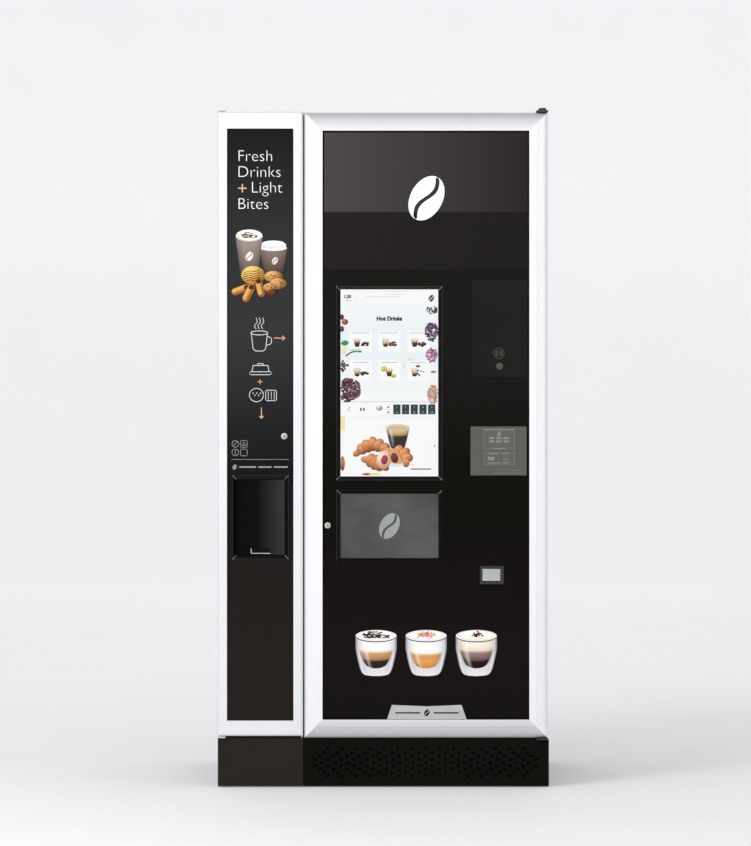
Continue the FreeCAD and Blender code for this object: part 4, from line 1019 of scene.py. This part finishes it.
def side_prints():
    """Wording, drink pictures and small line signs on the side door."""
    art = Art("side_print", "side_door_panel")
    tan = srgb(224, 170, 120)
    for words, z in (("Fresh", 1692.9), ("Drinks", 1650.0), ("Light", 1607.7), ("Bites", 1563.6)):
        art.level = 0
        x = -395.4 if words != "Light" else -359.0
        art.text(words, x, z, 44.0, WHITE, thin=0.9)
    art.plus(-381.0, 1620.0, 10.0, 3.6, tan)

    # Two cups with sweets in front of them.
    art.level = 2
    taupe = graded((0.0, 74, 62, 58), (0.5, 122, 108, 101), (1.0, 150, 136, 128))
    brown = graded((0.0, 72, 58, 50), (1.0, 128, 110, 100))
    mug(art, -297.3, 1458.0, 38.0, 9.0, 1398.0, 0.72, brown, srgb(232, 232, 232))
    art.disc(-297.3, 1466.0, 35.0, 11.0, srgb(216, 216, 218), n=36)
    art.disc(-297.3, 1471.0, 30.0, 7.5, srgb(242, 242, 242), n=36)
    mug(art, -362.7, 1491.0, 37.0, 18.0, 1392.0, 0.66, taupe, srgb(240, 232, 222))
    art.disc(-362.7, 1490.0, 31.0, 13.5, srgb(204, 172, 140), n=36)
    art.disc(-362.0, 1491.0, 30.0, 12.8, srgb(240, 232, 224), n=30)
    flakes(art, -362.0, 1492.0, 34.0, 14.0)
    bean_sign(art, -362.0, 1436.0, 27.0, srgb(226, 222, 218))
    bean_sign(art, -293.0, 1424.0, 22.0, srgb(214, 208, 202))
    ball(art, -352.0, 1385.0, 32.0, 25.0, srgb(150, 96, 30), srgb(248, 214, 120), grain=0.6, n=30, rings=8)
    for k in range(5):
        z = 1371.0 + 6.0 * k
        reach = 24.0 * math.sqrt(max(0.0, 1 - ((z - 1383.0) / 21.0) ** 2))
        drizzle = [(-355.6 - reach, z - 3), (-358.0, z + 2), (-353.0, z - 1), (-355.6 + reach, z + 3)]
        art.stroke(curve(drizzle, 5), 2.0, srgb(66, 34, 18))
    for x, z, lean in ((-385.0, 1346.0, 0.35), (-364.0, 1337.0, 1.1), (-334.0, 1352.0, 1.8)):
        dx, dz = math.cos(lean) * 17, math.sin(lean) * 17
        art.stroke([(x - dx, z - dz), (x + dx, z + dz)], 20.0, srgb(150, 92, 40))
        art.stroke([(x - dx - 3, z - dz + 2), (x + dx - 3, z + dz + 2)], 11.0, srgb(220, 166, 92))
        art.disc(x + dx, z + dz, 8.0, 6.6, srgb(72, 36, 18), n=16)
        for k in range(4):
            t = -0.7 + 0.45 * k
            mid_x, mid_z = x + t * dx, z + t * dz
            art.stroke([(mid_x - 5, mid_z - 3), (mid_x + 5, mid_z + 3)], 0.9, srgb(120, 70, 30))
    for x, z, r in ((-297.0, 1381.0, 25.0), (-284.0, 1362.0, 23.0), (-306.0, 1352.0, 19.0)):
        ball(art, x, z, r, r * 0.62, srgb(120, 74, 34), srgb(230, 178, 112), grain=0.7, n=26, rings=6)
        rng = random.Random(int(-x))
        for _ in range(7):
            a, q = rng.uniform(0, 6.28), r * rng.uniform(0.1, 0.75)
            art.disc(x + q * math.cos(a), z + 0.6 * q * math.sin(a), 1.9, 1.4, srgb(46, 22, 14), n=8)
    ball(art, -300.0, 1338.0, 16.0, 10.0, srgb(34, 14, 8), srgb(120, 66, 38), 0.3, n=20)

    # Line signs down the middle: hot cup, cover, snack.
    line, width = srgb(214, 214, 212), 1.8
    art.level = 2
    cup = [(-357, 1228), (-352, 1186), (-345, 1180), (-325, 1180), (-318, 1186), (-313, 1228)]
    handle = [(-313, 1220), (-303, 1214), (-304, 1200), (-315, 1196)]
    art.lines(width, line, cup, closed(ellipse(-335, 1229, 23, 5.5)), curve(handle, 6))
    for dx in (-9, 0, 9):
        steam(art, -335 + dx, 1240, 30, 4.0, line)
    art.arrow(-295.0, 1215.0, -266.0, 1215.0, 2.3, 9.0, tan)
    art.lines(width, line, closed(rounded_rect(-361, -303, 1116, 1124, 2.5)),
              [(-355, 1125), (-352, 1141), (-312, 1141), (-309, 1125)],
              [(-340, 1142), (-339, 1146), (-325, 1146), (-324, 1142)])
    art.plus(-333.0, 1097.0, 6.0, 2.0, tan)
    art.stroke(closed(ellipse(-343, 1061, 19, 18)), width, line)
    for k in range(5):
        art.disc(-352 + 5 * k, 1066 - 6 * (k % 2), 1.6, 1.6, line, n=10)
    art.stroke(closed(rounded_rect(-318, -289, 1046, 1074, 3.0)), width, line)
    for x in (-311, -303, -295):
        art.stroke([(x, 1050), (x, 1070)], 1.4, line)
    art.arrow(-329.5, 1026.0, -329.5, 998.0, 2.3, 8.0, tan)

    # Small pictograms and the footer line.
    grey = srgb(150, 150, 148)
    art.level = 2
    art.lines(1.4, grey,
              closed(ellipse(-400, 929, 9, 9)), [(-406, 923), (-394, 935)],
              closed(rounded_rect(-386, -368, 920, 938, 2.0)),
              closed([(-382, 925), (-377, 933), (-372, 925)]),
              closed(ellipse(-400, 906, 9, 9)), [(-400, 900), (-400, 912)],
              closed(rounded_rect(-386, -368, 897, 915, 2.0)))
    art.stroke([(-410, 887), (-256, 887)], 1.1, grey)
    bean_sign(art, -402, 866.5, 15.0, grey)
    for a, b in ((-390, -344), (-338, -302), (-296, -258)):
        art.rect(a, b, 864.6, 868.4, grey, 1.6)
    art.build("side_door")


window_print()
reader_plate_print()
side_prints()


# ---- small visible details ------------------------------------------------------------
def bezel_look(node):
    """Gloss black surround with a painted highlight down its mitred corners and a faint painted one round its
    outer edge.
    """
    m, t, b = new_material(node + "_gloss_painted_highlight")
    dx, dz = edge_distances(t, *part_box(node))
    # Painted highlight: grey lines down the mitres and a faint grey line round the outer edge.
    mitre = math_node(t, "LESS_THAN", math_node(t, "ABSOLUTE", math_node(t, "SUBTRACT", dx, dz)), 0.0011)
    rim = math_node(t, "LESS_THAN", math_node(t, "MINIMUM", dx, dz), 0.0010)
    glint = math_node(t, "MAXIMUM", math_node(t, "MULTIPLY", mitre, 0.5),
                      math_node(t, "MULTIPLY", rim, 0.05))
    fine = noise_node(t, coords(t), 500.0, 2.0)
    base = ramp(t, fine, graded((0.3, 5, 5, 6), (0.7, 12, 12, 13)))
    link(t, mix_color(t, glint, base, srgb(176, 178, 180)), b.inputs["Base Color"])
    link(t, math_node(t, "MULTIPLY_ADD", fine, 0.08, 0.16), b.inputs["Roughness"])
    b.inputs["Specular IOR Level"].default_value = 0.15
    set_material(node, m)


def bracket_look():
    """Zinc grey bracket at the module, black brackets at the main door."""
    m, t, b = new_material("hinge_bracket_finish")
    module_grey, door_black = (206, 206, 208), (34, 34, 35)
    tone = axis_ramp(t, "X", -0.44, 0.44, graded(
        (0.0, *module_grey), (0.45, *module_grey), (0.55, *door_black)))
    link(t, tone, b.inputs["Base Color"])
    fine = noise_node(t, coords(t), 900.0, 2.0)
    link(t, math_node(t, "MULTIPLY_ADD", fine, 0.2, 0.35), b.inputs["Roughness"])
    set_material("hinge_brackets", m)


def lock_face(lock, body):
    """Ringed key plug with a dark key slot, about the axis of the lock's joint."""
    joint = next(j for j in frame["joints"] if j["child"] == body)
    x, z = joint["pos_m"][0] / MM, joint["pos_m"][2] / MM
    art = Art(lock + "_face", lock, 0.03)
    for dx, dz, r, tone, n in ((0, 0, 7.6, srgb(122, 118, 108), 32), (0, 0, 6.6, srgb(214, 212, 202), 32),
                               (0.8, -0.6, 4.6, srgb(98, 92, 80), 28),
                               (0.6, -0.4, 3.7, srgb(176, 172, 160), 28)):
        art.disc(x + dx, z + dz, r, r, tone, n)
    art.rect(x - 0.7, x + 0.9, z - 2.9, z + 2.5, srgb(26, 24, 20), 0.6)
    art.build(body)


def hatch_notch_painted_light():
    """Painted highlight and painted shade low on the collection flap: a bright angle line on the finger
    notch's edges and a dark field for the shade inside the notch.
    """
    art = Art("hatch_notch_painted_light_print", "hatch_flap", 0.06)
    pale = srgb(196, 196, 194)
    # Painted highlight along the notch's left and lower edges, then painted shade filling the notch.
    art.stroke([(-357.5, 646.0), (-357.5, 633.0), (-306.0, 633.0)], 1.8, pale)
    art.fill([(-355.0, 635.0), (-309.0, 635.0), (-309.0, 648.0), (-355.0, 644.0)], srgb(4, 4, 4))
    art.build("hatch")


for bezel in ("touchscreen_bezel", "pickup_bezel", "hatch_bezel"):
    bezel_look(bezel)
bracket_look()
set_material("coin_slot", surface("dark_coin_metal", srgb(52, 51, 48), 0.3, metal=0.6, grain=1100,
                                  spread=0.2, spec=0.2))
set_material("reject_button", surface("reject_key_metal", srgb(70, 69, 66), 0.35, metal=0.5, grain=1100,
                                      spec=0.2))
lock_face("main_lock_cylinder", "main_lock")
lock_face("side_lock_cylinder", "side_lock")
hatch_notch_painted_light()


# ---- black sheet behind the base grille, painted shade for its holes --------------------
def grille_shade_sheet():
    """Black sheet behind the grille holes, fixed to the base, standing in for the shade inside the base as
    painted shade.
    """
    lo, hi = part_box("base_grille")
    x0, x1, z0, z1 = lo[0] + 0.004, hi[0] - 0.004, 0.006, 0.127
    y0, y1 = lo[1] + 0.0034, lo[1] + 0.0094
    verts = [(x, y, z) for x in (x0, x1) for y in (y0, y1) for z in (z0, z1)]
    faces = [(0, 1, 3, 2), (4, 6, 7, 5), (0, 4, 5, 1), (2, 3, 7, 6), (0, 2, 6, 4), (1, 5, 7, 3)]
    # The foam-textured black is painted shade seen through the grille holes.
    foam = surface("grille_painted_shade_foam", srgb(8, 8, 8), 0.9, grain=700, grain_depth=0.0004, spec=0.02)
    obj = new_object("grille_painted_shade_sheet", verts, faces, foam)
    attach(obj, "cabinet")


grille_shade_sheet()


# ---- stage, lights and camera ---------------------------------------------------------
def backdrop():
    """Seamless pale sweep: floor, wide curve, wall."""
    bend, radius = 10.5, 2.5
    rows = [(-16.0, 0.0), (bend, 0.0)]
    for k in range(1, 13):
        a = math.pi / 2 * k / 12
        rows.append((bend + radius * math.sin(a), radius - radius * math.cos(a)))
    rows.append((bend + radius, 10.0))
    verts = [(x, y, z) for y, z in rows for x in (-15.0, 15.0)]
    faces = [(2 * i, 2 * i + 1, 2 * i + 3, 2 * i + 2) for i in range(len(rows) - 1)]
    m, t, b = new_material("sweep_white")
    obj = new_object("studio_sweep", verts, faces, m)
    for p in obj.data.polygons:
        p.use_smooth = True
    link(t, ramp(t, noise_node(t, coords(t), 2.0, 2.0),
                 ((0.3, (0.80, 0.80, 0.812)), (0.7, (0.82, 0.82, 0.832)))), b.inputs["Base Color"])
    b.inputs["Roughness"].default_value = 0.9
    b.inputs["Specular IOR Level"].default_value = 0.1
    glow = axis_ramp(t, "Y", 0.6, 9.0, (
        (0.0, (0.13, 0.13, 0.133)), (0.35, (0.22, 0.22, 0.223)), (1.0, (0.315, 0.315, 0.318))))
    link(t, glow, b.inputs["Emission Color"])
    b.inputs["Emission Strength"].default_value = 1.0


def area_light(name, place, aim, size, power):
    """Square soft light at place, turned to aim."""
    data = bpy.data.lights.new(name, "AREA")
    data.energy = power
    data.shape = "SQUARE"
    data.size = size
    obj = bpy.data.objects.new(name, data)
    obj.location = place
    obj.rotation_euler = (Vector(aim) - Vector(place)).to_track_quat("-Z", "Y").to_euler()
    scene.collection.objects.link(obj)


MIDDLE = (0.0, 0.0, 0.9)
backdrop()
area_light("key_left", (-3.6, -4.2, 3.4), MIDDLE, 2.6, 150.0)
area_light("fill_right", (4.2, -4.6, 2.2), MIDDLE, 3.2, 40.0)
area_light("front_soft", (0.0, -7.5, 3.2), MIDDLE, 4.5, 120.0)
area_light("back_wash", (0.0, 4.0, 6.5), (0.0, 0.4, 0.6), 4.0, 60.0)

world = bpy.data.worlds.new("studio_world")
world.use_nodes = True
world.node_tree.nodes["Background"].inputs["Color"].default_value = (0.94, 0.94, 0.955, 1.0)
world.node_tree.nodes["Background"].inputs["Strength"].default_value = 0.55
scene.world = world

# Straight on with a long lens; the picture is VIEW_HEIGHT metres tall at the machine's front.
VIEW_HEIGHT = 2.2848
VIEW_X, VIEW_Z = -0.0212, 0.9855
DISTANCE = 9.0
SENSOR = 24.0
FRONT_Y = CAD_BOX[0][1]
camera_data = bpy.data.cameras.new("camera")
camera_data.sensor_fit = "VERTICAL"
camera_data.sensor_height = SENSOR
camera_data.lens = SENSOR * DISTANCE / VIEW_HEIGHT
camera_data.clip_end = 60.0
camera = bpy.data.objects.new("camera", camera_data)
camera.location = (VIEW_X, FRONT_Y - DISTANCE, VIEW_Z)
camera.rotation_euler = (math.radians(90.0), 0.0, 0.0)
scene.collection.objects.link(camera)
scene.camera = camera
